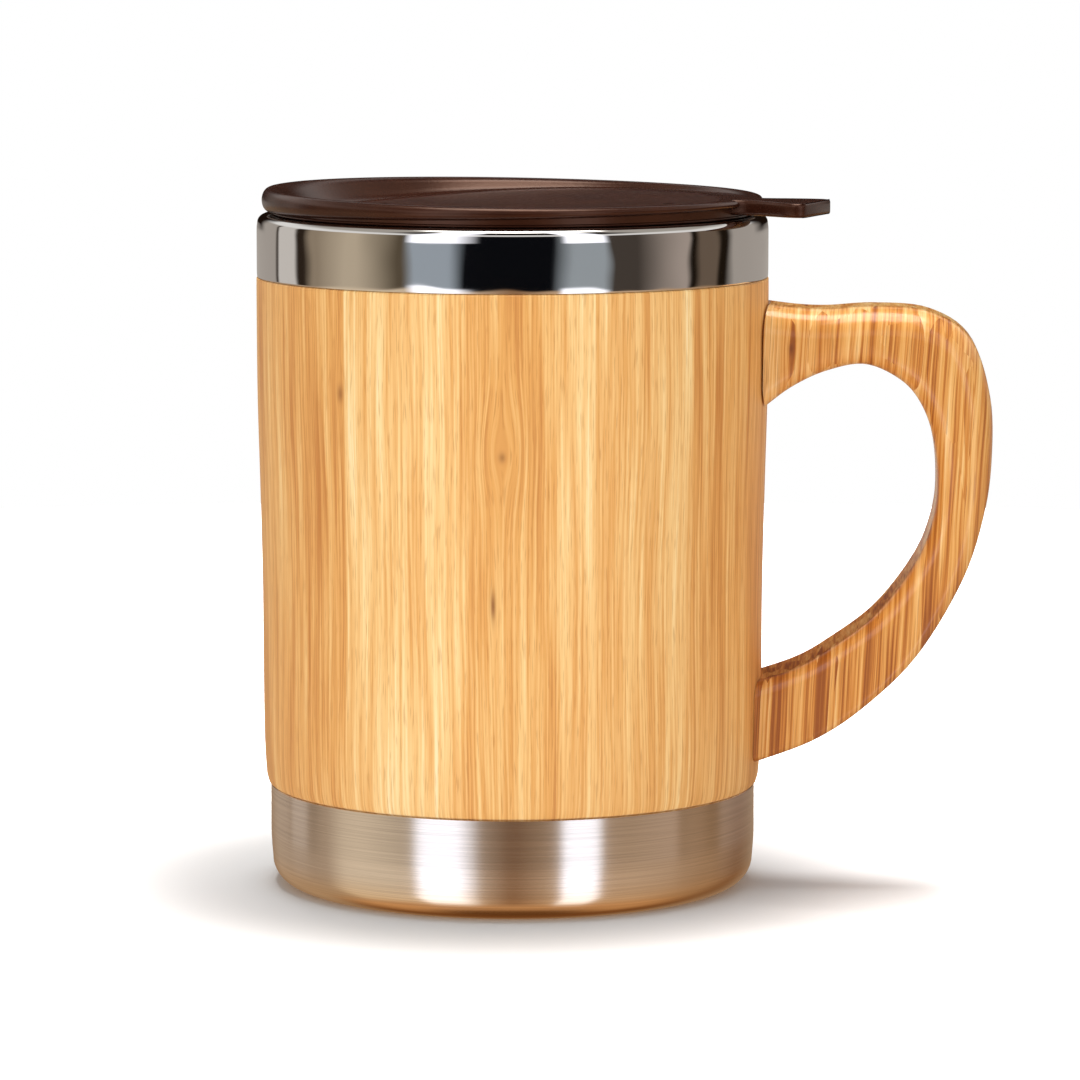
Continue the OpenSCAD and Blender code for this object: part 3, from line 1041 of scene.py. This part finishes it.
    def sleeve_strips(self, add: Adder) -> tuple[Node, Node]:
        """Add the nodes for the sleeve's strips, which run up the cup side by side round it.

        The place across the grain is measured round the cup, and its only break lies under the handle. The
        strips on the front have the widths and tones of the real ones, and their darker tones towards both
        flanks also paint in the shade that falls off there; the others are drawn at random.

        Args:
            add: add_node for the material.

        Returns:
            The place in the wood and the tone of the strip.
        """
        parts = add("SeparateXYZ", add("TexCoord").outputs["Object"])
        x, y, z = parts.outputs
        back_x = add("Math", x, -1.0, operation="MULTIPLY")
        back_y = add("Math", y, -1.0, operation="MULTIPLY")
        angle = add("Math", back_y, back_x, operation="ARCTAN2")
        across = add("Math", angle, WRAP_R, operation="MULTIPLY")
        along = add("Math", z, 1 / MM, operation="MULTIPLY")
        place = add("CombineXYZ", across, 0.0, along)
        share = add("MapRange", angle, -math.pi, math.pi)
        tone = add("ValToRGB", share, stops=self.strip_tones())
        tone.color_ramp.interpolation = "CONSTANT"
        return place, tone

    @staticmethod
    def strip_tones() -> list[tuple[float, str]]:
        """Give the strips round the sleeve.

        Returns:
            Where each strip starts, as a share of the way round, with its tone as a grey.
        """
        # Widths and tones of the real front strips; the darker tones towards both flanks are partly painted
        # shade.
        front = [
            (28, 104), (52.6, 180), (60, 192), (81, 132), (101.5, 176),
            (110, 140), (118, 160), (136, 100), (148.5, 120), (162, 100),
        ]
        draw = random.Random(7)
        strips = []
        start = -180.0
        while start < 26:
            strips.append((start, draw.randint(*STRIP_TONES)))
            start += draw.uniform(*STRIP_ANGLES)
        return [(0.5 + angle / 360, f"{tone:02X}" * 3) for angle, tone in strips + front]

    def handle_strips(self, add: Adder) -> tuple[Node, Node]:
        """Add the nodes for the handle's strips: upright sticks, glued up into a board.

        Args:
            add: add_node for the material.

        Returns:
            The place in the wood and the tone of the stick.
        """
        metres = add("TexCoord").outputs["Object"]
        lean = (math.radians(4), math.radians(-3), 0)
        leaning = add("Mapping", metres, (0.0, 0.0, 31.0), lean, (1 / MM,) * 3)
        width, depth = self.stick
        sticks = add("VectorMath", leaning, (1 / width, 1 / depth, 0.0), operation="MULTIPLY")
        spread = {"Scale": 1.0, "Randomness": 0.8}
        cells = add("TexVoronoi", sticks, feature="F1", sockets=spread)
        tone = add("SeparateColor", cells.outputs["Color"])
        return leaning, tone

    def build(self) -> None:
        """Model and dress the sleeve and the handle."""
        sleeve_wood = StripBamboo(
            name="Strip bamboo, clear satin lacquer",
            tones=((0.2, "C8803A"), (0.38, "E6A75A"), (0.52, "F4C37C"), (0.66, "FCDA9C"), (0.82, "FFE9BE")),
            layers=(Grain(5.0, 90.0, 0.42), Grain(1.3, 55.0, 0.46), Grain(0.4, 30.0, 0.5)),
            tone_weight=0.34,
            fibres=Grain(0.22, 5.0, 0.42),
            fibre_tone="BE7A34",
            wander=1.6,
            coat=0.2,
            coat_roughness=0.3,
            knots=(
                Knot(67.6, 76.6, 2.8, 7.6, 0.55, 0.8, -0.9, 0.5),
                Knot(66.2, 51.8, 0.8, 5.0, 0.4, 2.4, 0.0, 0.8),
                Knot(39.2, 85.0, 0.8, 5.0, 0.6, 1.3, 0.0, 0.6),
            ),
        )
        handle_wood = StripBamboo(
            name="Laminated bamboo, clear gloss lacquer",
            tones=((0.2, "985018"), (0.36, "CC8032"), (0.5, "E4A456"), (0.64, "F1BC74"), (0.8, "F8D294")),
            layers=(Grain(3.2, 60.0, 0.36), Grain(0.8, 60.0, 0.66), Grain(0.33, 40.0, 0.66)),
            tone_weight=0.24,
            fibres=Grain(0.24, 9.0, 0.4),
            fibre_tone="9A5418",
            wander=2.0,
            coat=0.7,
            coat_roughness=0.14,
            knots=(Knot(43.0, 122.9, 0.9, 4.0, 0.4, 1.0, 0.0, 0.9),),
            foot_darkening=0.13,
            foot_darkening_h=(65.0, 100.0),
        )
        wood = sleeve_wood.material(self.sleeve_strips)
        dress(self.sleeve(), wood, Slot.SLEEVE, Body.CUP, "bamboo_sleeve")
        wood = handle_wood.material(self.handle_strips)
        dress(self.handle(), wood, Slot.HANDLE, Body.CUP, "handle")


@dataclass
class PlugLid:
    """The plug-in lid with its lifting tab, and the seal in its skirt.

    Attributes:
        seat_z: Height at which the lid rests on the lip.
        rim_r: Radius of the rolled rim.
        rim_shift: How far the rim stands off the axis towards the drinking side.
        rim_out: Width of the rolled rim outside its crest.
        rim_in: Width of the rolled rim inside its crest at the tab and at the drinking side.
        rim_h: Height of the rim above the seat at the tab and at the drinking side.
        rim_late: Lateness of the rim's rise.
        floor_h: Height of the dished floor above the seat at the tab and at the drinking side.
        floor_late: Lateness of the floor's fall.
        floor_r: Radius of the floor.
        floor_dip: How far the floor dips in its middle.
        dish_lean_deg: Lean of the dish's wall from upright.
        floor_t: Thickness of the floor.
        step_r: Radius of the step on the lip.
        step_t: Thickness of the step.
        shadow_gap: How far the rolled rim's foot lies above the step at the tab and at the drinking
            side, where it hangs in front of the step.
        skirt_r: Outer and inner radius of the skirt.
        skirt_z: Height of the skirt's lower edge.
        groove: Radius, lower and upper height of the seal's groove.
        tab_angle_deg: Angle of the tab, seen from above, from the handle.
        tab_z: Height of the tab's underside.
        tab_edge: Rounding of the tab's edges.
        tab_outline: Reach, half width and thickness of the tab at each station from its tip.
        slot_x: Reach of the drinking slot's middle.
        slot_size: Length and width of the drinking slot.
        vent: Reach and radius of the vent hole.
        mouth_r: Radius of the steel mouth.
        seal_gap: Gap between the seal's beads and the mouth.
    """

    seat_z: float = 112.1
    rim_r: float = 41.55
    rim_shift: float = 0.1
    rim_out: float = 1.25
    rim_in: Point = (1.15, 3.0)
    rim_h: Point = (3.1, 4.3)
    rim_late: float = 1.8
    floor_h: Point = (2.45, 0.2)
    floor_late: float = 3.0
    floor_r: float = 36.5
    floor_dip: float = 0.5
    dish_lean_deg: float = 38.0
    floor_t: float = 1.8
    step_r: float = 40.0
    step_t: float = 0.5
    shadow_gap: Point = (1.25, -0.2)
    skirt_r: Point = (37.2, 35.6)
    skirt_z: float = 105.4
    groove: tuple[float, float, float] = (36.4, 107.7, 110.1)
    tab_angle_deg: float = -19.0
    tab_z: float = 112.8
    tab_edge: float = 0.6
    tab_outline: tuple[tuple[float, float, float], ...] = (
        (53.6, 5.6, 2.32), (53.35, 6.6, 2.34), (52.8, 7.2, 2.35), (52.0, 7.5, 2.37), (50.8, 7.3, 2.39),
        (49.4, 6.75, 2.42), (47.9, 6.0, 2.45), (46.4, 5.2, 2.48), (44.8, 4.4, 2.5), (43.4, 3.85, 2.52),
        (42.3, 3.65, 2.53), (41.5, 3.65, 2.53), (40.8, 3.75, 2.53), (39.9, 3.95, 2.53),
    )
    slot_x: float = 28.1
    slot_size: Point = (16.0, 7.0)
    vent: Point = (27.6, 1.0)
    mouth_r: float = 38.0
    seal_gap: float = 0.15

    def section(self, lean: float) -> list[Point]:
        """Give the lid's outline on one side.

        Args:
            lean: 0 on the side of the tab and 1 on the drinking side.

        Returns:
            Radius and height of each ring, from the middle of the underside round to the middle of
            the top.
        """
        rise = lean**self.rim_late
        crest = self.seat_z + self.rim_h[0] + (self.rim_h[1] - self.rim_h[0]) * rise
        rim_in = self.rim_in[0] + (self.rim_in[1] - self.rim_in[0]) * rise
        fall = self.floor_h[1] - self.floor_h[0]
        floor, middle = (self.seat_z + self.floor_h[0] + fall * x**self.floor_late for x in (lean, 0.5))
        step_top = self.seat_z + self.step_t
        roll_foot = step_top + self.shadow_gap[0] + (self.shadow_gap[1] - self.shadow_gap[0]) * lean
        roll_r, half_h = self.rim_r - self.rim_out, (crest - roll_foot) / 2
        lean_tan = math.tan(math.radians(self.dish_lean_deg))
        leave = 180 - math.degrees(math.atan(lean_tan * half_h / rim_in))
        roll = [
            *arc((roll_r, roll_foot + half_h), (self.rim_out, half_h), -90, 90, 14),
            *arc((roll_r, roll_foot + half_h), (rim_in, half_h), 90, leave, 8)[1:],
        ]
        wall_r, wall_z = roll[-1]
        drop = wall_z - floor
        foot_r = wall_r - drop * lean_tan
        cove = min(1.8, drop * 0.55)
        corner = [
            (foot_r + cove * lean_tan, floor + cove),
            (foot_r + cove * lean_tan * 0.45 - cove * 0.08, floor + cove * 0.5),
            (foot_r - cove * 0.35, floor + cove * 0.16), (foot_r - cove * 1.1, floor),
        ]
        edge = 0.3
        skirt, skirt_in = self.skirt_r
        groove_r, groove_low, groove_top = self.groove
        top = []
        for radius in (32.0, 27.0, 21.0, 15.0, 9.0, 2.0):
            share = radius / self.floor_r
            top.append((radius, middle + (floor - middle) * share - self.floor_dip * (1 - share**2)))
        return [
            (2.0, middle - self.floor_t - self.floor_dip),
            (skirt_in, middle + (floor - middle) * skirt_in / self.floor_r - self.floor_t - self.floor_dip),
            (skirt_in, self.skirt_z + edge), (skirt_in + edge, self.skirt_z),
            (skirt - edge, self.skirt_z), (skirt, self.skirt_z + edge), (skirt, groove_low),
            (groove_r, groove_low), (groove_r, groove_top), (skirt, groove_top), (skirt, self.seat_z),
            *arc((self.step_r - edge, self.seat_z + edge), (edge, edge), -90, 0, 4),
            *arc((self.step_r - edge, step_top - edge), (edge, edge), 0, 90, 4),
            (roll_r - 0.1, step_top),
            *roll,
            *corner,
            *top,
        ]

    def lid(self) -> Piece:
        """Model the lid: a round moulding, lifted at the drinking side, with tab, slot and vent.

        Returns:
            The finished piece.
        """
        piece = turn("Lid", self.section(0.0), hollow=False)
        self.lift_drinking_side(piece)
        use_up(self.tab(), piece, Boolean.JOIN)
        use_up(self.slot_cutter(), piece, Boolean.CUT)
        use_up(drum(*self.vent, self.seat_z, 32), piece, Boolean.CUT)
        piece.rotation_euler.z = math.radians(self.tab_angle_deg)
        make_active(piece)
        finish_piece(piece, 28)
        return piece

    def lift_drinking_side(self, piece: Piece) -> None:
        """Move the rings of the round moulding to the outline of each side.

        No operator lifts a ring by a curve that changes round the axis, so the vertices are moved.

        Args:
            piece: The lid as it is turned, with the outline of its tab side all round.
        """
        rings = {(round(r, 3), round(z, 3)): i for i, (r, z) in enumerate(self.section(0.0))}
        roll_foot_r = self.rim_r - self.rim_out - 0.1
        first_shifted = next(i for i, p in enumerate(self.section(0.0)) if p[0] == roll_foot_r)
        for vert in piece.data.vertices:
            radius, height = math.hypot(vert.co.x, vert.co.y), vert.co.z
            nearest = min(rings, key=lambda ring: abs(ring[0] - radius / MM) + abs(ring[1] - height / MM))
            index = rings[nearest]
            turn_share = vert.co.x / radius
            new_radius, new_height = self.section((1 - turn_share) / 2)[index]
            shift = self.rim_shift if index >= first_shifted else 0.0
            vert.co.x = (turn_share * new_radius - shift) * MM
            vert.co.y = vert.co.y / radius * new_radius * MM
            vert.co.z = new_height * MM

    def tab(self) -> Piece:
        """Model the lifting tab: a plate end drawn in to the rim, with flared root and soft edges.

        Returns:
            The solid to join to the lid.
        """
        (tip, half, thickness), *stations = self.tab_outline
        middle = (tip * MM, 0, (self.tab_z + thickness / 2) * MM)
        bpy.ops.object.select_all(action="DESELECT")
        bpy.ops.mesh.primitive_plane_add(size=1, location=middle, rotation=(0, math.pi / 2, 0))
        piece = bpy.context.active_object
        bpy.ops.transform.resize(value=(1, 2 * half * MM, thickness * MM))
        bpy.ops.object.transform_apply(location=True, rotation=True, scale=True)
        bpy.ops.object.mode_set(mode="EDIT")
        here = (tip, half, thickness)
        for station in stations:
            move = {"value": ((station[0] - here[0]) * MM, 0, 0)}
            bpy.ops.mesh.extrude_region_move(TRANSFORM_OT_translate=move)
            grow = (1, station[1] / here[1], station[2] / here[2])
            bpy.ops.transform.resize(value=grow, center_override=(station[0] * MM, 0, self.tab_z * MM))
            here = station
        bpy.ops.mesh.select_all(action="SELECT")
        bpy.ops.mesh.normals_make_consistent(inside=False)
        near_root = (here[0] + 0.1) * MM
        pick(
            Element.EDGE,
            lambda edge: any(vert.co.x > near_root for vert in edge.verts)
            and len(edge.link_faces) == 2
            and max(abs(face.normal.z) for face in edge.link_faces) > 0.9
            and min(abs(face.normal.z) for face in edge.link_faces) < 0.1,
        )
        bpy.ops.mesh.bevel(offset=self.tab_edge * MM, segments=5, affect="EDGES")
        bpy.ops.object.mode_set(mode="OBJECT")
        finish_piece(piece)
        crest_r = self.rim_r - self.rim_out
        use_up(drum(-self.rim_shift, crest_r, self.tab_z, SIDES, 20), piece, Boolean.CUT)
        return piece

    def slot_cutter(self) -> Piece:
        """Model the cutter for the drinking slot: a drum drawn out to a long hole.

        Returns:
            The solid to cut away.
        """
        length, width = self.slot_size
        piece = drum(-self.slot_x, width / 2, self.seat_z, 64)
        bpy.ops.object.mode_set(mode="EDIT")
        for side in (-1, 1):
            pick(Element.VERTEX, lambda vert: vert.co.y * side > 0.01 * MM)
            bpy.ops.transform.translate(value=(0, side * (length - width) / 2 * MM, 0))
        bpy.ops.object.mode_set(mode="OBJECT")
        return finish_piece(piece)

    def seal(self) -> Piece:
        """Model the seal: a band in the groove with two round beads.

        Returns:
            The finished piece.
        """
        groove_r, low, top = self.groove
        low, top, bead = low + 0.05, top - 0.05, 0.45
        bead_r = self.mouth_r - self.seal_gap - bead
        skirt = self.skirt_r[0]
        outline = [(groove_r + 0.05, low), (skirt, low)]
        for middle in (low + bead, top - bead):
            outline += arc((bead_r, middle), (bead, bead), -80, 80, 10)
            outline.append((skirt, middle + bead))
        outline += [(skirt, top), (groove_r + 0.05, top)]
        return turn("Seal", outline)

    def build(self) -> None:
        """Model and dress the lid and its seal."""
        name = "Moulded dark brown polypropylene"
        plastic = MouldedPlastic(name, "28110A", "32170D", 0.26, 1.2, 0.3, 35.0, 1.5, 112.2)
        rubber = Silicone("White silicone rubber", "DEDED8")
        dress(self.lid(), plastic.material(), Slot.LID, Body.LID, "lid")
        dress(self.seal(), rubber.material(), Slot.SEAL, Body.SEAL, "lid_seal")


# ---- Studio ------------------------------------------------------------------------------------


@dataclass(frozen=True)
class Lamp:
    """A soft area lamp aimed at the cup.

    Attributes:
        name: Name of the lamp.
        azimuth_deg: Direction it stands in, to the right of the camera.
        elevation_deg: Height above the horizon.
        distance: Distance from the cup in metres.
        size: Width and height in metres.
        power: Power in watts.
    """

    name: str
    azimuth_deg: float
    elevation_deg: float
    distance: float
    size: Point
    power: float


@dataclass(frozen=True)
class Panel:
    """A plain panel of the studio.

    Attributes:
        start_deg: Direction of its left edge, to the right of the camera.
        end_deg: Direction of its right edge.
        colour: Its colour.
    """

    start_deg: float
    end_deg: float
    colour: str


@dataclass(frozen=True)
class Storey:
    """One storey of the studio that polished metal mirrors.

    Attributes:
        start_deg: Height above the horizon where it begins to show.
        end_deg: Height where it shows in full.
        panels: Its panels from left to right. Between two of them one fades into the other.
    """

    start_deg: float
    end_deg: float
    panels: tuple[Panel, ...]

    def fade(self) -> Point:
        """Give its two heights in radians."""
        return math.radians(self.start_deg), math.radians(self.end_deg)


@dataclass
class Studio:
    """Pale floor, soft lamps, the room that polished metal mirrors, and the camera.

    Attributes:
        camera_distance: Distance from the cup's axis to the camera in metres.
        camera_height: Height of the camera in metres.
        camera_azimuth_deg: Direction of the camera, to the right of the cup's front.
        camera_pitch_deg: How far the camera looks down.
        lens: Focal length on a sensor 36 mm wide.
        axis_shift: How far the cup's axis stands left of the picture's middle, as a share of its
            width.
        daylight: Strength of the even light from all sides.
        painted_shade_tones: How bright the floor shows near the cup, lowered there as painted shade that
            deepens its shadow, and far from it, where it shows white.
        painted_shade_reach: Distances in metres where those two tones are reached.
        painted_shade_shift: How far in metres they are measured from the axis, to the right. Set to the left,
            it makes the painted shade darker on the cup's left than under its handle.
        lamps: The lamps.
        storeys: What polished metal mirrors, from eye level up and down.
        softboxes: Directions of the softboxes in it, white where they stand.
        softbox_light: Their light.
        drape: Colour of the drape behind the cup.
        drape_depth: How far back a direction points where the drape begins and where it is full.
        zenith_light: Light of the patch straight above.
    """

    camera_distance: float = 0.87066
    camera_height: float = 0.16483
    camera_azimuth_deg: float = 3.0
    camera_pitch_deg: float = 7.039
    lens: float = 174.68
    axis_shift: float = 0.02541
    daylight: float = 0.47
    painted_shade_tones: Point = (0.67, 1.7)
    painted_shade_reach: Point = (0.042, 0.105)
    painted_shade_shift: float = -0.007
    lamps: tuple[Lamp, ...] = (
        Lamp("Left softbox", -38, 9, 1.6, (1.1, 0.5), 8.7),
        Lamp("Right softbox", 36, 9, 1.6, (0.9, 0.5), 6.2),
        Lamp("Overhead softbox", 180, 81, 1.3, (0.55, 0.8), 17.0),
    )
    storeys: tuple[Storey, ...] = (
        Storey(0, 0, (
            Panel(-180, -133, "B0A8A0"), Panel(-131, -130, "30261E"), Panel(-128, -115, "D8D2CC"),
            Panel(-112, -107, "30261E"), Panel(-102, -98, "9C8C78"), Panel(-80, -74, "C8B8A0"),
            Panel(-52, -50, "605444"), Panel(-45, -27, "A6B0BA"), Panel(-20, 18, "0C0D11"),
            Panel(27, 41, "A4ACB2"), Panel(45, 58, "4A423C"), Panel(81, 83, "B0A298"),
            Panel(86, 88, "181008"), Panel(93, 103, "706052"), Panel(106, 112, "201810"),
            Panel(118, 180, "B0A8A0"),
        )),
        Storey(-7.5, -9.5, (
            Panel(-180, -165, "A08468"), Panel(-150, -100, "B8A086"), Panel(-88, -60, "E4D0B4"),
            Panel(-40, -22, "DCC4A8"), Panel(-2, 2, "9C7656"), Panel(22, 60, "D0B08E"),
            Panel(104, 110, "B08C68"), Panel(134, 140, "8C6646"), Panel(165, 180, "A08468"),
        )),
        Storey(-36, -54, (
            Panel(-180, -150, "784C28"), Panel(-110, 106, "CEA074"), Panel(142, 180, "784C28"),
        )),
        Storey(-62, -80, (Panel(-180, 180, "6A4628"),)),
        Storey(13, 19, (Panel(-180, 180, "F4F2F0"),)),
        Storey(29, 42, (
            Panel(-180, -155, "1C1410"), Panel(-130, -75, "B4AEA6"), Panel(-55, 55, "1C1410"),
            Panel(75, 130, "B4AEA6"), Panel(155, 180, "1C1410"),
        )),
    )
    softboxes: tuple[Panel, ...] = (
        Panel(-180, -49, "000000"), Panel(-44, -26, "FFFFFF"), Panel(-15, 22, "000000"),
        Panel(25, 40, "FFFFFF"), Panel(44, 180, "000000"),
    )
    softbox_light: Colour = (1.7, 1.72, 1.86, 1.0)
    drape: str = "1A100A"
    drape_depth: Point = (0.78, 0.92)
    zenith_light: Colour = (6.5, 6.4, 6.1, 1.0)

    def add_camera(self) -> None:
        """Set up the camera at the picture's viewing angle."""
        azimuth = math.radians(self.camera_azimuth_deg)
        away = self.camera_distance
        place = (away * math.sin(azimuth), -away * math.cos(azimuth), self.camera_height)
        tilt = math.radians(90 - self.camera_pitch_deg)
        bpy.ops.object.camera_add(location=place, rotation=(tilt, 0, azimuth))
        camera = bpy.context.active_object
        camera.data.lens = self.lens
        camera.data.sensor_width = 36
        camera.data.shift_x = self.axis_shift
        camera.data.clip_start = 0.05
        camera.data.clip_end = 60
        bpy.context.scene.camera = camera

    def add_lamps(self) -> None:
        """Set up the lamps, each aimed at the middle of the cup."""
        target = Vector((0, 0, 0.05))
        for lamp in self.lamps:
            azimuth = math.radians(self.camera_azimuth_deg + lamp.azimuth_deg)
            elevation = math.radians(lamp.elevation_deg)
            level = math.cos(elevation)
            way = Vector((math.sin(azimuth) * level, -math.cos(azimuth) * level, math.sin(elevation)))
            aim = way.to_track_quat("Z", "Y").to_euler()
            bpy.ops.object.light_add(type="AREA", location=target + way * lamp.distance, rotation=aim)
            light = bpy.context.active_object
            light.name = lamp.name
            light.data.shape = "RECTANGLE"
            light.data.size, light.data.size_y = lamp.size
            light.data.energy = lamp.power
            light.visible_camera = False
            light.visible_glossy = False

    def add_floor(self) -> None:
        """Set up the floor: it shows white with the cup's soft shadow, deepened near the cup by painted
        shade, and lights the cup as pale paper.
        """
        bpy.ops.object.select_all(action="DESELECT")
        bpy.ops.mesh.primitive_circle_add(vertices=96, radius=0.55, fill_type="NGON", location=(0, 0, 0))
        floor = bpy.context.active_object
        floor.name = "Floor"
        material, add = new_material("White paper sweep, shade painted near the cup")
        seen = add("LightPath").outputs["Is Camera Ray"]
        paper = add("BsdfDiffuse", linear("DEDEDE"))
        # Painted shade: to the camera the floor is darker near the cup and brighter far out, so the cup's
        # shadow shows deep near it and the rest shows white.
        place = add("TexCoord").outputs["Object"]
        middle = (self.painted_shade_shift, 0, 0)
        reach = add("VectorMath", place, middle, operation="DISTANCE").outputs[1]
        tone = add("MapRange", reach, *self.painted_shade_reach, *self.painted_shade_tones, **SMOOTH)
        bright = add("BsdfDiffuse", add("CombineColor", tone, tone, tone))
        add("OutputMaterial", add("MixShader", seen, paper, bright))
        floor.data.materials.append(material)
        floor.visible_glossy = False

    @staticmethod
    def panel_stops(panels: Sequence[Panel]) -> list[tuple[float, str]]:
        """Turn panels into the stops of a colour ramp that runs once round the cup.

        Args:
            panels: The panels from left to right.

        Returns:
            The two edges of each panel as shares of the way round, with its colour.
        """
        return [(0.5 + edge / 360, p.colour) for p in panels for edge in (p.start_deg, p.end_deg)]

    def add_room(self) -> None:
        """Set up the world: white to the camera, even to matt surfaces, and a studio to polished ones.

        Polished metal mirrors this studio, storey by storey: a dark drape high up behind the cup, a
        pale ceiling, the walls at eye level, a wooden table, and its dark edge. Two tall softboxes
        stand between them, brightest at their heads and feet.
        """
        world = bpy.data.worlds.new("Room")
        bpy.context.scene.world = world
        world.use_nodes = True
        world.node_tree.nodes.clear()
        add = partial(add_node, world.node_tree)
        direction = add("SeparateXYZ", add("TexCoord").outputs["Generated"])
        x, y, z = direction.outputs
        back_y = add("Math", y, -1.0, operation="MULTIPLY")
        angle = add("Math", x, back_y, operation="ARCTAN2")
        facing = math.radians(self.camera_azimuth_deg)
        around = add("MapRange", angle, facing - math.pi, facing + math.pi)
        rise = add("Math", z, operation="ARCSINE")
        view: Node | Socket | None = None
        for storey in self.storeys:
            panels = add("ValToRGB", around, stops=self.panel_stops(storey.panels))
            if view is None:
                view = panels
                continue
            share = add("MapRange", rise, *storey.fade(), **SMOOTH)
            view = add("Mix", share, sockets={6: view, 7: panels}, **RGBA).outputs[2]
        above, foot_top, foot_end, drape_foot, drape_head, zenith = (
            add("MapRange", rise, *map(math.radians, fade), **SMOOTH)
            for fade in ((-1, 2), (-6.3, -7.8), (-36, -52), (-4, 0), (36, 22), (66, 74))
        )
        behind = add("MapRange", y, *self.drape_depth, **SMOOTH)
        drape = add("Math", drape_foot, drape_head, operation="MULTIPLY")
        drape = add("Math", drape, behind, operation="MULTIPLY")
        for share, light in ((drape, linear(self.drape)), (zenith, self.zenith_light)):
            view = add("Mix", share, sockets={6: view, 7: light}, **RGBA).outputs[2]
        foot = add("Math", foot_top, foot_end, operation="SUBTRACT")
        lit = add("Math", above, foot, operation="MAXIMUM")
        boxes = add("ValToRGB", around, stops=self.panel_stops(self.softboxes))
        below_zenith = add("Math", 1.0, zenith, operation="SUBTRACT")
        hot = add("Math", lit, boxes, operation="MULTIPLY")
        hot = add("Math", hot, below_zenith, operation="MULTIPLY")
        studio = add("Mix", hot, sockets={6: view, 7: self.softbox_light}, **RGBA)
        path = add("LightPath")
        even = add("Background", linear("FFFFFF"), self.daylight)
        white = add("Background", linear("FFFFFF"), 1.0)
        mirrored = add("Background", studio.outputs[2], 1.0)
        matt = add("MixShader", path.outputs["Is Glossy Ray"], even, mirrored)
        camera = add("MixShader", path.outputs["Is Camera Ray"], matt, white)
        add("OutputWorld", camera)

    def build(self) -> None:
        """Set up the camera, the lamps, the floor and the room."""
        self.add_camera()
        self.add_lamps()
        self.add_floor()
        self.add_room()
        bpy.context.scene.view_settings.view_transform = "Standard"


def main() -> None:
    """Load the frame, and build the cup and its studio."""
    logging.basicConfig(level=logging.INFO, format="%(name)s: %(message)s")
    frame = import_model()
    SteelShell().build(frame)
    BambooBody().build()
    PlugLid().build()
    Studio().build()


if __name__ == "__main__":
    main()
